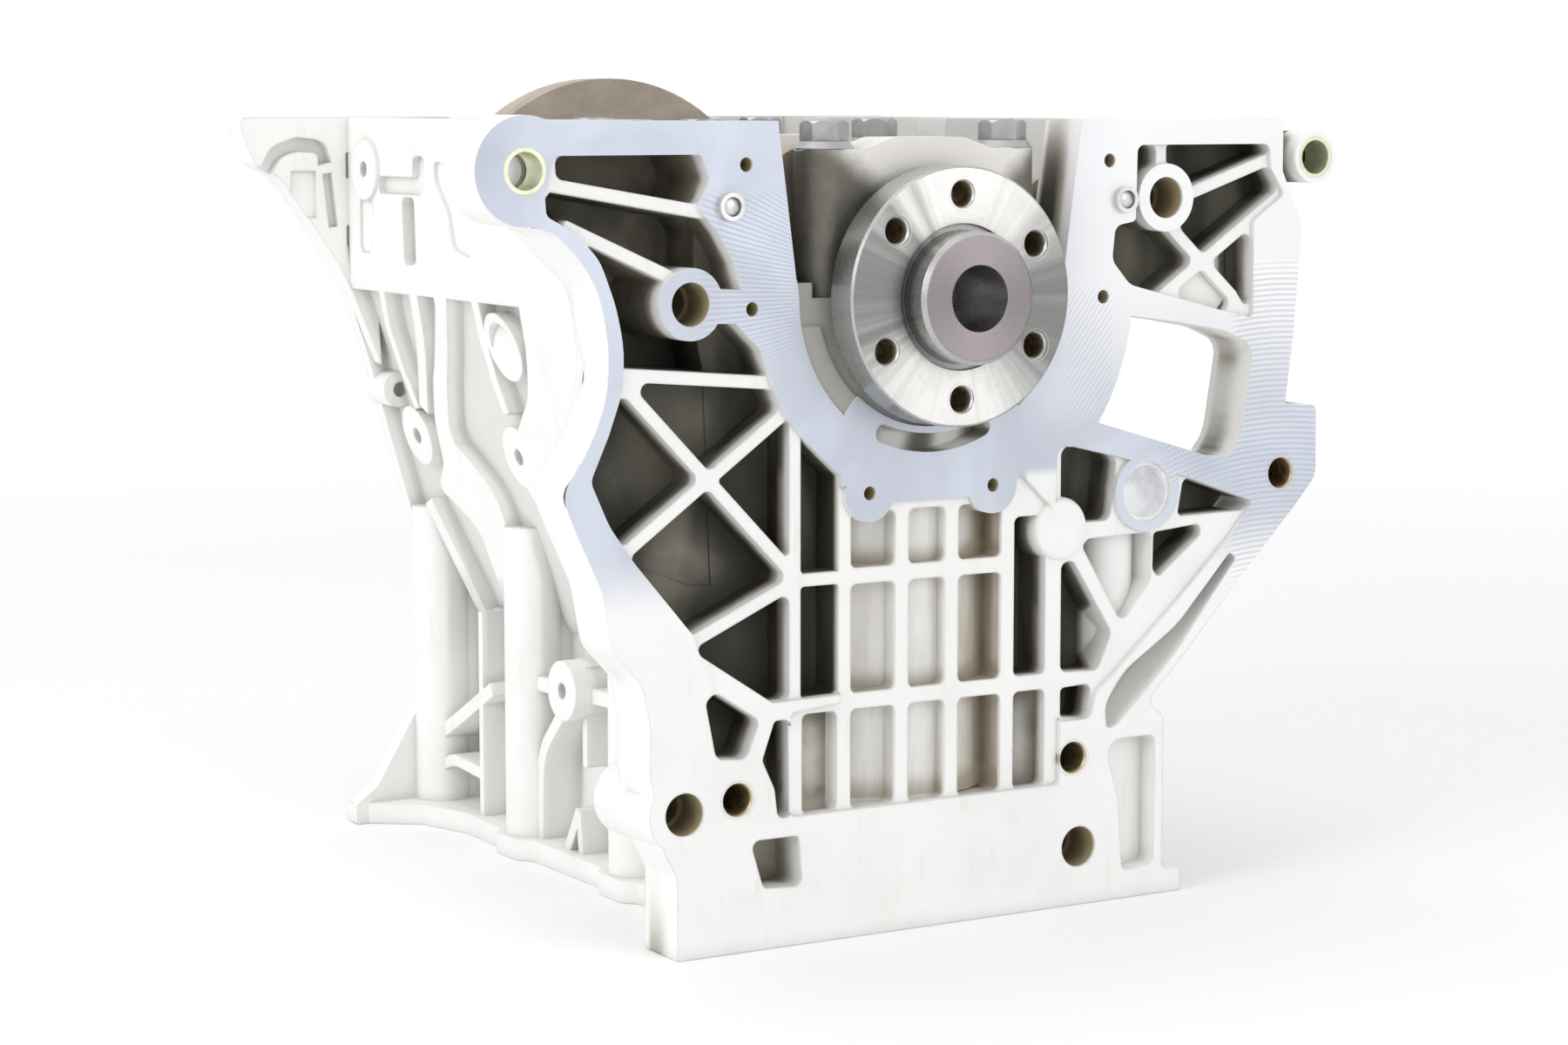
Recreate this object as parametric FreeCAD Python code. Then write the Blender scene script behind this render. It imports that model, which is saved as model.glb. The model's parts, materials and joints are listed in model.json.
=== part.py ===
"""Three-cylinder in-line engine block with its crankshaft, standing on its head deck.

Millimetres. X runs across the block, Y along the crankshaft with the flywheel end at -Y,
and Z up from the deck to the sump rail. The origin is the middle bore's axis at the deck.
Most shapes are drawn from the crankshaft's axis: h is a height above that axis.
"""
import FreeCAD, Part
import math
import os

Vector = FreeCAD.Vector

# Cylinders
CYLINDERS = 3
BORE_PITCH = 88.0
BORE_R = 38.0
LINER_WALL = 2.0
LINER_FIT = 0.02
BARREL_WALL = 5.0
JACKET_GAP = 7.0
JACKET_DEPTH = 92.0
JACKET_WALL = 9.0

# Crankshaft and its bearings
CRANK_Z = 234.5
JOURNAL_R = 26.0
OIL_CLEARANCE = 0.03
SHELL_WALL = 1.97
SHELL_WIDTH = 19.0
MAIN_WIDTH = 21.0
JOURNAL_WIDTH = 27.0
THROW = 42.0
PIN_R = 23.0
PIN_WIDTH = 29.0
COUNTERWEIGHT_R = 79.0
COUNTERWEIGHT_GAP = 5.0
SMALL_WEIGHT_R = 55.0
FLANGE_R = 47.0
FLANGE_T = 14.7
FLANGE_OUT = 19.0
SPIGOT_R = 24.0
SPIGOT_OUT = 11.3
PILOT_R = 12.0
PILOT_DEPTH = 34.0
FLANGE_BOLT_R = 5.2
FLANGE_PCD = 73.8
NOSE_R = 17.0
NOSE_LENGTH = 52.0
NOSE_BOLT_R = 6.0
THRUST_CLEARANCE = 0.3
THRUST_R = 35.0

# Casting
RAIL_H = 63.0
REAR_OVERHANG = 13.0
WALL = 6.0
RIB_T = 4.6
GRID_RIB_T = 5.8
ENVELOPE_INSET = 7.0
SIDE_X = 108.0
DECK_HALF = 79.0
DECK_T = 9.0
COLUMN_R = 12.0
COLUMN_X = 67.5
HEAD_BOLT_R = 5.5
END_BOLT_X = 48.0
HEAD_BOLT_DEPTH = 46.0
OIL_DRAIN_X = 50.0
OIL_DRAIN_R = 3.5
OIL_DRAIN_DEPTH = 30.0
PLATE_T = 24.0
FLOOR_T = 6.0
DEEP_POCKET = 38.0
RIB_RECESS = 2.0
PALE_POCKET = 5.0
BOSS_LENGTH = 42.0
BORE_RELIEF = 2.0
CHANNEL_H = 5.5
SICKLE_DEPTH = 1.2
SICKLE_START = 190.0
LEDGE_H = -4.0
LEDGE_T = 3.6
LOW_WALL_H = -150.0
FRONT_LIP_T = 6.0
EAR_T = 13.0
LOW_REACH = 72.0
SIDE_HOLE_R = 3.2
COVER_BOLT_R = 3.2
COVER_BOLT_DEPTH = 18.0
COVER_BOSS_R = 7.5
COVER_BOLTS = [(95, 20), (88, -50), (56, -120), (62, -200)]
SUMP_BOLT_R = 3.2
SUMP_BOLT_X = 102.5
SUMP_BOLT_Y = [-110, -58, 0, 58, 110]
SUMP_BOLT_DEPTH = 20.0
FLARE_LENGTH = 118.0
BOSS_R = 12.8

# Main caps
CAP_BOLT_X = 38.7
CAP_HALF = 50.0
CAP_SEAT_H = 53.0
CAP_CROWN = 4.0
CAP_FIT = 0.05
BOLT_R = 5.0
BOLT_CLEARANCE = 0.5
THREAD_FIT = 0.1
BOLT_DEPTH = 42.0
HEAD_R = 8.9
HEAD_H = 7.4
HEAD_CHAMFER = 1.2
WASHER_R = 11.0
WASHER_T = 2.6

# Worked out from the above
LINER_R = BORE_R + LINER_WALL
BARREL_R = LINER_R + BARREL_WALL
JACKET_R = BARREL_R + JACKET_GAP
SWELL_R = JACKET_R + JACKET_WALL
HOUSING_R = JOURNAL_R + OIL_CLEARANCE + SHELL_WALL
HALF_SPAN = BORE_PITCH * CYLINDERS / 2
CYLINDER_Y = [BORE_PITCH * (i - (CYLINDERS - 1) / 2) for i in range(CYLINDERS)]
MAIN_Y = [BORE_PITCH * i - HALF_SPAN for i in range(CYLINDERS + 1)]
REAR_Y = MAIN_Y[0] - REAR_OVERHANG
FRONT_Y = MAIN_Y[-1] + MAIN_WIDTH / 2
FLANGE_Y = REAR_Y - FLANGE_OUT
BAY_R = COUNTERWEIGHT_R + COUNTERWEIGHT_GAP
RECESS_D = REAR_OVERHANG - MAIN_WIDTH / 2
FLOOR_H = -BAY_R
LINER_LENGTH = CRANK_Z + FLOOR_H
RAIL_Z = CRANK_Z + RAIL_H
DECK_H = -CRANK_Z


def save(name, shape):
    """Write one piece under its own name."""
    shape = shape.removeSplitter()
    shape.exportStep("parts/" + name + ".step")
    print(name, round(shape.Volume), shape.isValid(), len(shape.Solids), len(shape.Faces))


def rounded_wire(corners, place):
    """Closed outline through corners (u, v, radius), each corner rounded by an arc."""
    count = len(corners)
    arcs = []
    for i, (u, v, radius) in enumerate(corners):
        point = Vector(u, v, 0)
        back = Vector(corners[i - 1][0], corners[i - 1][1], 0) - point
        ahead = Vector(corners[(i + 1) % count][0], corners[(i + 1) % count][1], 0) - point
        half = back.getAngle(ahead) / 2
        shorter = min(back.Length, ahead.Length)
        back.normalize()
        ahead.normalize()
        if radius <= 0 or half > 1.55:
            arcs.append((point, None, point))
            continue
        trim = min(radius / math.tan(half), 0.45 * shorter)
        radius = trim * math.tan(half)
        inward = (back + ahead).normalize()
        centre = point + inward * (radius / math.sin(half))
        arcs.append((point + back * trim, centre - inward * radius, point + ahead * trim))
    edges = []
    for i, (start, middle, end) in enumerate(arcs):
        following = arcs[(i + 1) % count][0]
        if middle is not None:
            edges.append(Part.Arc(place(start), place(middle), place(end)).toShape())
        if end.distanceToPoint(following) > 1e-6:
            edges.append(Part.LineSegment(place(end), place(following)).toShape())
    return Part.Wire(edges)


def across(corners, y0, y1):
    """Outline in x and h, drawn out along the crankshaft from y0 to y1."""
    wire = rounded_wire(corners, lambda p: Vector(p.x, y0, CRANK_Z + p.y))
    return Part.Face(wire).extrude(Vector(0, y1 - y0, 0))


def along(corners, x0, x1):
    """Outline in y and h, drawn out across the block from x0 to x1."""
    wire = rounded_wire(corners, lambda p: Vector(x0, p.x, CRANK_Z + p.y))
    return Part.Face(wire).extrude(Vector(x1 - x0, 0, 0))


def upright(corners, z0, z1):
    """Outline in x and y, drawn up from z0 to z1."""
    wire = rounded_wire(corners, lambda p: Vector(p.x, p.y, z0))
    return Part.Face(wire).extrude(Vector(0, 0, z1 - z0))


def block(x0, x1, y0, y1, h0, h1):
    """Box between two corners, its heights from the crankshaft's axis."""
    return Part.makeBox(x1 - x0, y1 - y0, h1 - h0, Vector(x0, y0, CRANK_Z + h0))


def rod_y(x, h, radius, y0, y1):
    """Round bar or hole along the crankshaft's direction."""
    return Part.makeCylinder(radius, y1 - y0, Vector(x, y0, CRANK_Z + h), Vector(0, 1, 0))


def rod_z(x, y, radius, z0, z1):
    """Round bar or hole standing on the deck."""
    return Part.makeCylinder(radius, z1 - z0, Vector(x, y, z0))


def rod_x(y, h, radius, x0, x1):
    """Round bar or hole across the block."""
    return Part.makeCylinder(radius, x1 - x0, Vector(x0, y, CRANK_Z + h), Vector(1, 0, 0))


def ribbon(line, width, bend=25.0):
    """Corners of a rib of even width along a bent line, its turns rounded."""
    one = []
    other = []
    for i, (u, v) in enumerate(line):
        before = line[max(i - 1, 0)]
        after = line[min(i + 1, len(line) - 1)]
        run = Vector(after[0] - before[0], after[1] - before[1], 0).normalize()
        side = Vector(-run.y, run.x, 0) * (width / 2)
        radius = bend if 0 < i < len(line) - 1 else 0
        one.append((u + side.x, v + side.y, radius))
        other.append((u - side.x, v - side.y, radius))
    return one + other[::-1]


def strip(a, b, width):
    """Corners of a straight rib from a to b."""
    return ribbon([a, b], width)


def joined(shapes):
    """One shape out of many."""
    return shapes[0].multiFuse(shapes[1:]) if len(shapes) > 1 else shapes[0]


def polar(radius, degrees):
    """Point in x and h at an angle round the crankshaft."""
    return radius * math.cos(math.radians(degrees)), radius * math.sin(math.radians(degrees))


def ring_sector(inner, outer, start, stop, y0, y1):
    """Part of a ring round the crankshaft, between two angles."""
    pie = Part.makeCylinder(outer, y1 - y0, Vector(0, 0, 0), Vector(0, 0, 1), stop - start)
    pie = pie.cut(Part.makeCylinder(inner, y1 - y0))
    pie.rotate(Vector(0, 0, 0), Vector(0, 0, 1), start)
    pie.rotate(Vector(0, 0, 0), Vector(1, 0, 0), 90)
    pie.translate(Vector(0, y1, CRANK_Z))
    return pie


# Flywheel-end face: where its bosses, ribs and pockets stand, from the crankshaft's axis
SIDE_LUG = (-165.4, RAIL_H - 16.6)
LEFT_BOSS = (-101.1, -0.6)
RIGHT_BOSS = (105.2, 33.6)
RIGHT_TOP_LUG = (177.0, RAIL_H - 14.8)
RIGHT_LUG = (162.5, -74.1)
LOW_LEFT_BOSS = (-104.4, -181.5)
LOW_LEFT_INNER = (-82.6, -178.4)
LOW_RIGHT_INNER = (64.6, -177.3)
LOW_RIGHT_BOSS = (67.4, -211.9)
SOLID_BOSS = (58.7, -89.8)
SOLID_BOSS_R = 12.0
TAB_R = 10.5
CORE_PLUG = (98.1, -77.9)
SIDE_LUG_R = 19.0
TOP_LUG_R = 10.0
TOP_LUG_SETBACK = 15.0
PLUG_R = 11.6
PLUG_BOSS_R = 15.0
DOWEL_X = 85.5
DOWEL_H = 33.2
DOWEL_R = 5.0
BELL_BOLT_R = 6.2
BELL_DOWEL_R = 7.8
LUG_BORE_R = 8.1
SEAL_BOLTS = [(78.7, 47.8), (76.3, -3.0), (27.0, -71.2)]
SEAL_BOLT_R = 2.6
SEAL_RECESS_R = 51.0
SEAL_EDGE_R = 57.0
GRID_TOP = -76.0
GRID_RIB_1 = -101.3
GRID_RIB_2 = -147.2
GRID_FOOT = -187.0
GRID_X = [-57.5, -36.8, -11.8, 10.1, 35.1, 55.3]
POCKET_ROUND = 3.0

# Outline of the flywheel-end plate, each corner with its radius
PLATE = [
    (-168, RAIL_H, 3), (161, RAIL_H, 3), (161, RAIL_H - 20, 4), (171, 22, 14),
    (167.5, -20, 40), (164, -48, 2),
    (179.5, -48, 3), (180, -76, 9), (170, -87, 20), (144, -113, 60), (117, -141.5, 60),
    (99, -159, 6), (107, -165, 5), (107, -225.5, 3), (116, -225.5, 2), (116, -234.5, 1),
    (-107.5, -234.5, 1), (-107.5, -204, 6), (-113, -194, 10), (-118.5, -165, 12),
    (-118, -150, 12), (-121, -134, 12), (-133, -121, 10), (-137, -99, 25),
    (-146, -80, 20), (-152.5, -65, 14), (-142, -50, 60), (-134.5, -33, 50),
    (-133.5, -15, 60), (-137, 3.5, 60), (-144, 15.6, 60), (-154, 25, 14), (-168, 29, 6),
]

# Left field of pockets, between the outer band and the seal face
LEFT_FIELD = [
    (-154.5, 51.5, 2), (-97, 51.5, 2), (-93.5, 43, 3), (-98, 33, 3), (-90, 24, 8),
    (-83.5, 13, 6), (-81, 4, 4), (-84, -7, 4), (-73, -17.5, 8), (-64, -40, 30),
    (-53, -52, 20), (-39, -64.5, 2), (-39, -144, 2), (-68, -144.5, 2),
    (-98, -125, 4), (-100.3, -118, 8), (-124.3, -90, 60), (-134, -76.6, 30),
    (-141.2, -60.7, 5), (-134, -45, 40), (-128.5, -30, 30), (-127.7, -15, 60),
    (-131, 0, 60), (-137, 15.4, 20), (-146, 25, 20), (-157.5, 31, 3), (-158, 37, 3),
]
LINK_RIB = ((-101, -1.2), (-70, -2.5))
LINK_WIDTH = 12.0
LEFT_RIBS = [
    ((-160, 42.5), (-92, 30.8)), ((-150, 27.5), (-106, 8)), ((-134, -23.8), (-62, -30)),
    ((-134, -21), (-54, -103.3)), ((-58, -38), (-130, -89)), ((-54, -100), (-104, -122)),
]

# Right field, between the seal face, the top bar and the outer upright
RIGHT_FIELD = [
    (91.5, 53.5, 3), (154.5, 53.5, 3), (155.5, 44, 2), (162.3, 34, 2), (147.3, 24, 2),
    (147.8, -13.5, 2), (131, -9.5, 20), (103, -2.5, 6), (88.6, 1.2, 8), (80.2, 10.5, 6),
    (81.6, 23.5, 4), (91, 25, 2),
]
RIGHT_RIBS = [
    ((104, 27), (154, -18)), ((98, -8.5), (168, 38)), ((112, 33), (160, 49)),
    ((104, 60), (104, 36)),
]

# Smaller pockets of the plate, each a plain outline
LOW_POCKETS = [
    [(-95.8, -142, 3), (-91.9, -138.5, 3), (-73.3, -150.5, 3), (-79, -164, 4), (-91.5, -163, 4)],
    [(-67.3, -151, 2), (-60.4, -151, 3), (-60, -187, 3), (-66, -187, 3), (-67.3, -176, 6),
     (-72.5, -165, 3)],
    [(-77.5, -194, 3), (-57, -194, 2), (-55.5, -213, 3), (-72, -212, 3)],
    [(59, -57.6, 4), (85, -63.8, 4), (82, -88, 4), (68, -88, 3), (59, -80, 3)],
    [(116.5, -73, 3), (149.8, -84.5, 4), (145, -88, 3), (113.7, -88.4, 2)],
    [(102.5, -93.8, 2), (124.6, -91.8, 3), (125.5, -96, 3), (105, -111.5, 3), (102.3, -108, 3)],
    [(59.5, -103, 3), (65, -102, 3), (83.4, -131, 4), (77, -145.2, 4), (59.5, -144.4, 3)],
    [(59.6, -150.4, 2), (74.3, -149.8, 3), (72.4, -163, 3), (59.6, -161.8, 2)],
    [(69, -97, 4), (72, -94.3, 3), (101.5, -93.6, 2), (101.5, -112, 3), (88, -128, 3)],
]

# Whole fields whose ribs end a little below the machined face, and two cells of the right field
CENTRE_FIELD = [
    (-39.5, -66, 2), (-27, -75, 6), (27, -75, 6), (40, -68, 2), (52.5, -80, 4), (58.2, -100, 2),
    (58.2, GRID_FOOT, 2), (-60.4, GRID_FOOT, 2), (-60.4, -149, 2), (-39.5, -147, 0),
]
LOW_FIELD = [
    (56, -57.6, 4), (85, -63.8, 4), (116.5, -73, 4), (149.8, -84.5, 4), (138, -97.5, 20),
    (113, -121, 30), (84, -146, 12), (75, -153, 6), (72.5, -163, 4), (58.2, -163, 2), (55, -101, 0),
]
THROUGH_CELL = [(147, 18.5, 2), (131.5, 9, 2.5), (147.5, -12, 2)]
PALE_CELL = [(126.5, 8.5, 0), (139, -3.5, 0), (131, -13, 0), (106, -5.5, 0)]
STRUT_SLOT = [
    (141.5, -106, 1.5), (138, -103.5, 1.5), (113, -130, 40), (88, -146, 20), (79, -158, 12),
    (80, -168, 3), (85, -166.5, 3), (112, -141.5, 80),
]
WINDOW = [
    (80.5, -9.5, 5), (112, -13.5, 60), (134, -17.5, 30), (148.3, -23.8, 7), (142.8, -58, 30),
    (137.6, -66.5, 4), (129, -66.2, 8), (66, -47.8, 3), (76, -28, 60),
]
FOOT_RECESS = [(79, -172, 6), (103, -172, 3), (103, -222, 3), (88, -224, 3), (86, -196, 6)]


def plate():
    """Flat flywheel-end flange with its lugs, machined on its outer face."""
    y1 = REAR_Y + PLATE_T
    boss_end = REAR_Y + BOSS_LENGTH
    body = across(PLATE, REAR_Y, y1)
    x, h = RIGHT_TOP_LUG
    lugs = [
        rod_y(*SIDE_LUG, SIDE_LUG_R, REAR_Y, y1),
        rod_y(x, h, TOP_LUG_R, REAR_Y, boss_end),
        block(x - 25, x, REAR_Y + TOP_LUG_SETBACK, y1, h - TOP_LUG_R, h + TOP_LUG_R),
        rod_y(*LOW_LEFT_BOSS, BOSS_R + 1.5, REAR_Y, boss_end),
    ]
    lugs += [rod_y(*at, BOSS_R, REAR_Y, boss_end)
             for at in (LOW_LEFT_INNER, LOW_RIGHT_INNER, LOW_RIGHT_BOSS, RIGHT_BOSS, RIGHT_LUG)]
    return joined([body] + lugs)


def flare(inset):
    """Trumpet that carries the left half of the flange into the crankcase wall."""
    at_plate = [
        (-90, RAIL_H), (-170, RAIL_H), (-184, RAIL_H - 16), (-166, 28), (-140, 5), (-134, -25),
        (-151, -65), (-136, -99), (-100, -112), (-84, -112),
    ]
    at_wall = [
        (-90, RAIL_H), (-108, RAIL_H), (-108, RAIL_H - 16), (-108, 28), (-107.6, 5), (-103, -20),
        (-96, -42), (-90, -62), (-84, -76), (-78, -84),
    ]
    wires = []
    for step, share in ((0.0, 0.0), (0.28, 0.47), (0.62, 0.82), (1.0, 1.0)):
        y = REAR_Y + PLATE_T / 2 + (FLARE_LENGTH - PLATE_T / 2 - inset) * step
        corners = []
        for (x0, h0), (x1, h1) in zip(at_plate, at_wall):
            x = x0 + (x1 - x0) * share
            h = h0 + (h1 - h0) * share
            x = x + inset if x < -90 else x
            corners.append(Vector(x, y, CRANK_Z + h + (inset if h < -40 else 0)))
        wires.append(Part.makePolygon(corners + corners[:1]))
    return Part.makeLoft(wires, True, True)


def crankcase_profile(inset):
    """Half section of the crankcase's outside, mirrored to a full outline."""
    right = [(62, LOW_WALL_H, 20), (78.6, -100, 60), (98, -33, 40), (SIDE_X - 1, -7, 3)]
    right = [(x - inset, h, r) for x, h, r in right]
    right += [(SIDE_X - inset, -4, 2), (SIDE_X - inset, RAIL_H, 1)]
    left = [(-x, h, r) for x, h, r in reversed(right)]
    return right + left


def envelope(y0, y1, h0, h1):
    """Slice of the crankcase's full outside."""
    reach = 2 * SIDE_X
    return across(crankcase_profile(0), y0, y1).common(block(-reach, reach, y0, y1, h0, h1))


# Raised shapes of the side walls, in y and h: outlines with their corner radii
SWEPT_RIB = [
    (51, -4, 0), (40.5, -4, 0), (41, -9, 4), (65, -43, 40), (77, -66, 8), (64, -74, 20), (46, -88, 20),
    (46.5, -118, 40), (44, -152, 0), (70, -152, 0), (72, -121, 20), (74, -104, 12), (92, -94, 10),
    (102, -89, 6), (90, -78, 8), (87, -59, 30), (78, -43, 30), (53, -11, 10),
]
FLARE_FOOT = [
    (-24, -4, 0), (-17, -24, 20), (-6, -44, 20), (10, -57, 12), (28, -70, 8), (18, -80, 10),
    (-7, -113.6, 6), (-45, -113.6, 0), (-60, -60, 0), (-60, -4, 0),
]

# Ribs of the side walls, each a bent line in y and h with its width
SIDE_RIBS = [
    ([(100, -5), (106.5, -22), (106.5, -36), (101.4, -56)], 5.0),
    ([(70, -5), (76.5, -22), (95, -56)], 7.0),
    ([(14.5, -5), (19, -24), (20, -38), (17, -52)], 6.0),
    ([(116.4, -96.4), (98.5, -138), (99, -165)], 9.0),
]
LOW_RIBS = [
    ([(125, -140), (125, -196)], 4.0), ([(84, -140), (84, DECK_H)], 4.0),
    ([(74, -171), (106, -188), (FRONT_Y, -206)], 6.0),
    ([(136, DECK_H), (130, -214), (112, -206), (84, -208)], 5.0),
    ([(46, -163), (-46, -160)], 6.0), ([(-8, -150), (-8, -190)], 4.0),
    ([(-2, -209), (13, DECK_H)], 5.0), ([(-2, -209), (-5, DECK_H)], 4.0),
    ([(8, -168), (30, -190), (32, DECK_H)], 6.0),
]
SIDE_BOSSES = [(109, -68), (16.5, -69)]
SIDE_BOSS_R = 12.5
SIDE_PLUG = (2.5, -24.5)
SIDE_PLUG_R = 9.5
SIDE_PLUG_RING = 13.5
LOW_BOSS = (-2, -160)
LOW_BOSS_R = 12.0
SKIRT_BOSS = (111.3, 42.0)
SKIRT_BOSS_R = 12.5
SKIRT_BOSS_OUT = 1.5

# Pockets of the skirt above the ledge, each with its depth
SKIRT_POCKETS = [
    ([(78, 31.5, 3), (66.5, 31.5, 3), (65, 4.5, 3), (76, 4.5, 3)], 9.0),
    ([(99.5, 32.5, 2), (60.5, 32.5, 2), (56.5, 37, 2), (56.5, 48, 3), (67, 48, 3),
      (67.5, 39.5, 2), (99.5, 39.5, 2)], 3.0),
    ([(137, 48.5, 2), (125.5, 48.5, 3), (125.5, 38, 3), (137, 38, 2)], 3.0),
    ([(133, 19, 2), (129, 19, 2), (130, 2, 2), (134, 2, 2)], 4.0),
    ([(118.5, 30, 3), (105, 30, 3), (107.5, 8, 3), (118.5, 8, 3)], 1.2),
    ([(48.5, 47, 4), (16, 40, 6), (5, 23, 5), (16.8, 9, 4), (32, 12.8, 5), (35.7, 26, 8), (47, 38, 5)], 1.5),
]


def side_details():
    """Ribs and bosses that stand out of both side walls to the crankcase's full outside."""
    hull = across(crankcase_profile(0), REAR_Y, FRONT_Y)
    reach = 2 * SIDE_X
    tools = [along(ribbon(line, width), -reach, reach) for line, width in SIDE_RIBS]
    tools += [along(outline, -reach, reach) for outline in (SWEPT_RIB, FLARE_FOOT)]
    tools += [rod_x(*at, SIDE_BOSS_R, -reach, reach) for at in SIDE_BOSSES]
    tools.append(rod_x(*SIDE_PLUG, SIDE_PLUG_RING, -reach, reach))
    hollow = across(crankcase_profile(2 * ENVELOPE_INSET), REAR_Y, FRONT_Y)
    details = joined(tools).common(hull).cut(hollow)
    skirt_reach = SIDE_X + SKIRT_BOSS_OUT
    skirt = rod_x(*SKIRT_BOSS, SKIRT_BOSS_R, -skirt_reach, skirt_reach)
    low = rod_x(*LOW_BOSS, LOW_BOSS_R, -DECK_HALF, DECK_HALF)
    low_ribs = [along(ribbon(line, width), -LOW_REACH, LOW_REACH) for line, width in LOW_RIBS]
    limits = block(-LOW_REACH, LOW_REACH, REAR_Y, FRONT_Y, DECK_H, 0)
    return [details, skirt, low, joined(low_ribs).common(limits)]


def deck_outline():
    """Deck flange seen from below, with an ear at each of its corners."""
    half = [(REAR_Y + 13, 107.5, 4), (REAR_Y + 32, 96, 8), (REAR_Y + 78, DECK_HALF - 3, 20)]
    for y in MAIN_Y[1:-1]:
        half += [(y - COLUMN_R - 3, DECK_HALF - 3, 4), (y - COLUMN_R + 3, DECK_HALF + 2, 4),
                 (y + COLUMN_R - 3, DECK_HALF + 2, 4), (y + COLUMN_R + 3, DECK_HALF - 3, 4)]
    half += [(FRONT_Y - 50, DECK_HALF - 4, 12), (FRONT_Y - 24, 83, 6), (FRONT_Y - 6, 107, 4)]
    half.append((FRONT_Y, 107, 2))
    right = [(116, REAR_Y, 1), (116, REAR_Y + 13, 4)] + [(x, y, r) for y, x, r in half[1:]]
    left = [(-x, y, r) for y, x, r in reversed(half)] + [(-107.5, REAR_Y, 1)]
    return right + left


def column_y(main_y):
    """Where the head bolt's column stands beside a main bearing, inside the block's ends."""
    if abs(main_y) < HALF_SPAN:
        return main_y
    return main_y - math.copysign(COLUMN_R - MAIN_WIDTH / 2, main_y)


def cylinder_body():
    """Siamesed barrels, their bolt columns and the deck."""
    z1 = CRANK_Z - 140
    solids = [Part.makeBox(110, FRONT_Y - REAR_Y, z1, Vector(-55, REAR_Y, 0))]
    solids.append(Part.makeBox(122, 42, z1, Vector(-61, REAR_Y, 0)))
    limits = block(-SWELL_R, SWELL_R, REAR_Y, FRONT_Y, DECK_H, 0)
    solids.append(joined([rod_z(0, y, SWELL_R, 0, z1) for y in CYLINDER_Y]).common(limits))
    for y in MAIN_Y:
        for side in (-1, 1):
            low = column_y(y)
            solids.append(rod_z(side * COLUMN_X, low, COLUMN_R, 0, CRANK_Z - 100))
            solids.append(Part.makeBox(14, 2 * COLUMN_R - 6, CRANK_Z - 130,
                                       Vector(side * 58 - 7, low - COLUMN_R + 3, 0)))
    solids.append(upright(deck_outline(), 0, DECK_T))
    front_foot = [(62, -160, 4), (97, -219, 6), (107, -226, 1), (107, -234.5, 1)]
    mirrored = [(-x, h, r) for x, h, r in reversed(front_foot)]
    solids.append(across(front_foot + mirrored, FRONT_Y - 10, FRONT_Y))
    return joined(solids)


# Shapes sunk into the back of the front ears, each with its width
EAR_HOOK = [(147, 36), (140, 49), (131, 52), (120, 51), (118.5, 44)]
EAR_TUBE = [(128, 41), (128, 22)]
EAR_GROOVE = [(117.5, 40), (115, 18)]


def front_ears():
    """Ears of the front flange at the sump rail, one each side."""
    corner = [(100, RAIL_H, 0), (157, RAIL_H, 3), (149, 44, 4), (139, 39, 8), (130, 28, 20),
              (113, 3, 20), (106, -11, 12), (94, -40, 0)]
    y0 = FRONT_Y - EAR_T
    ears = []
    for side in (-1, 1):
        ear = across([(side * x, h, r) for x, h, r in corner], y0, FRONT_Y)
        for line, width, depth in ((EAR_HOOK, 6.0, 5.0), (EAR_TUBE, 11.0, 1.5), (EAR_GROOVE, 4.0, 3.0)):
            sunk = [(side * x, h) for x, h in line]
            ear = ear.cut(across(ribbon(sunk, width, 8.0), y0 - 1, y0 + depth))
        ears.append(ear)
    return ears


def gussets():
    """Triangular webs that stay the right half of the flange to the crankcase."""
    webs = []
    for h0, h1 in ((RAIL_H - 9, RAIL_H), (-8, -3), (-92, -86)):
        reach = 160 if h0 > 0 else 120
        foot = SIDE_X - ENVELOPE_INSET - 3 if h0 > -50 else 66
        corners = [(foot, REAR_Y + 10, 0), (reach, REAR_Y + 10, 0), (reach, REAR_Y + PLATE_T, 2),
                   (foot + 10, REAR_Y + 88, 30), (foot, REAR_Y + 92, 0)]
        webs.append(upright(corners, CRANK_Z + h0, CRANK_Z + h1))
    return webs


def crankcase_space():
    """All that the crankshaft, its caps and the seal need free."""
    top = RAIL_H + 2
    bay = [(-97, top, 0), (97, top, 0), (97, 0, 25), (84, -33, 25), (62, FLOOR_H, 22),
           (-62, FLOOR_H, 22), (-84, -33, 25), (-97, 0, 25)]
    half = MAIN_WIDTH / 2
    cuts = []
    for i in range(CYLINDERS):
        y0 = MAIN_Y[i] + half
        y1 = MAIN_Y[i + 1] - half
        if i == 0:
            round_end = y0 + 18
            cuts.append(rod_y(0, 0, BAY_R, y0, round_end + 1))
            cuts.append(block(-BAY_R, BAY_R, y0, round_end + 1, 0, top))
            y0 = round_end
        cuts.append(across(bay, y0, y1))
    channel = [(-58, CHANNEL_H, 2), (58, CHANNEL_H, 2), (66, top, 0), (-66, top, 0)]
    cuts.append(across(channel, REAR_Y - 1, FRONT_Y + 1))
    cuts.append(block(-CAP_HALF - CAP_FIT, CAP_HALF + CAP_FIT, REAR_Y - 1, FRONT_Y + 1, 0, CHANNEL_H + 1))
    cuts.append(rod_y(0, 0, HOUSING_R, REAR_Y - 1, FRONT_Y + 1))
    return cuts


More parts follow.
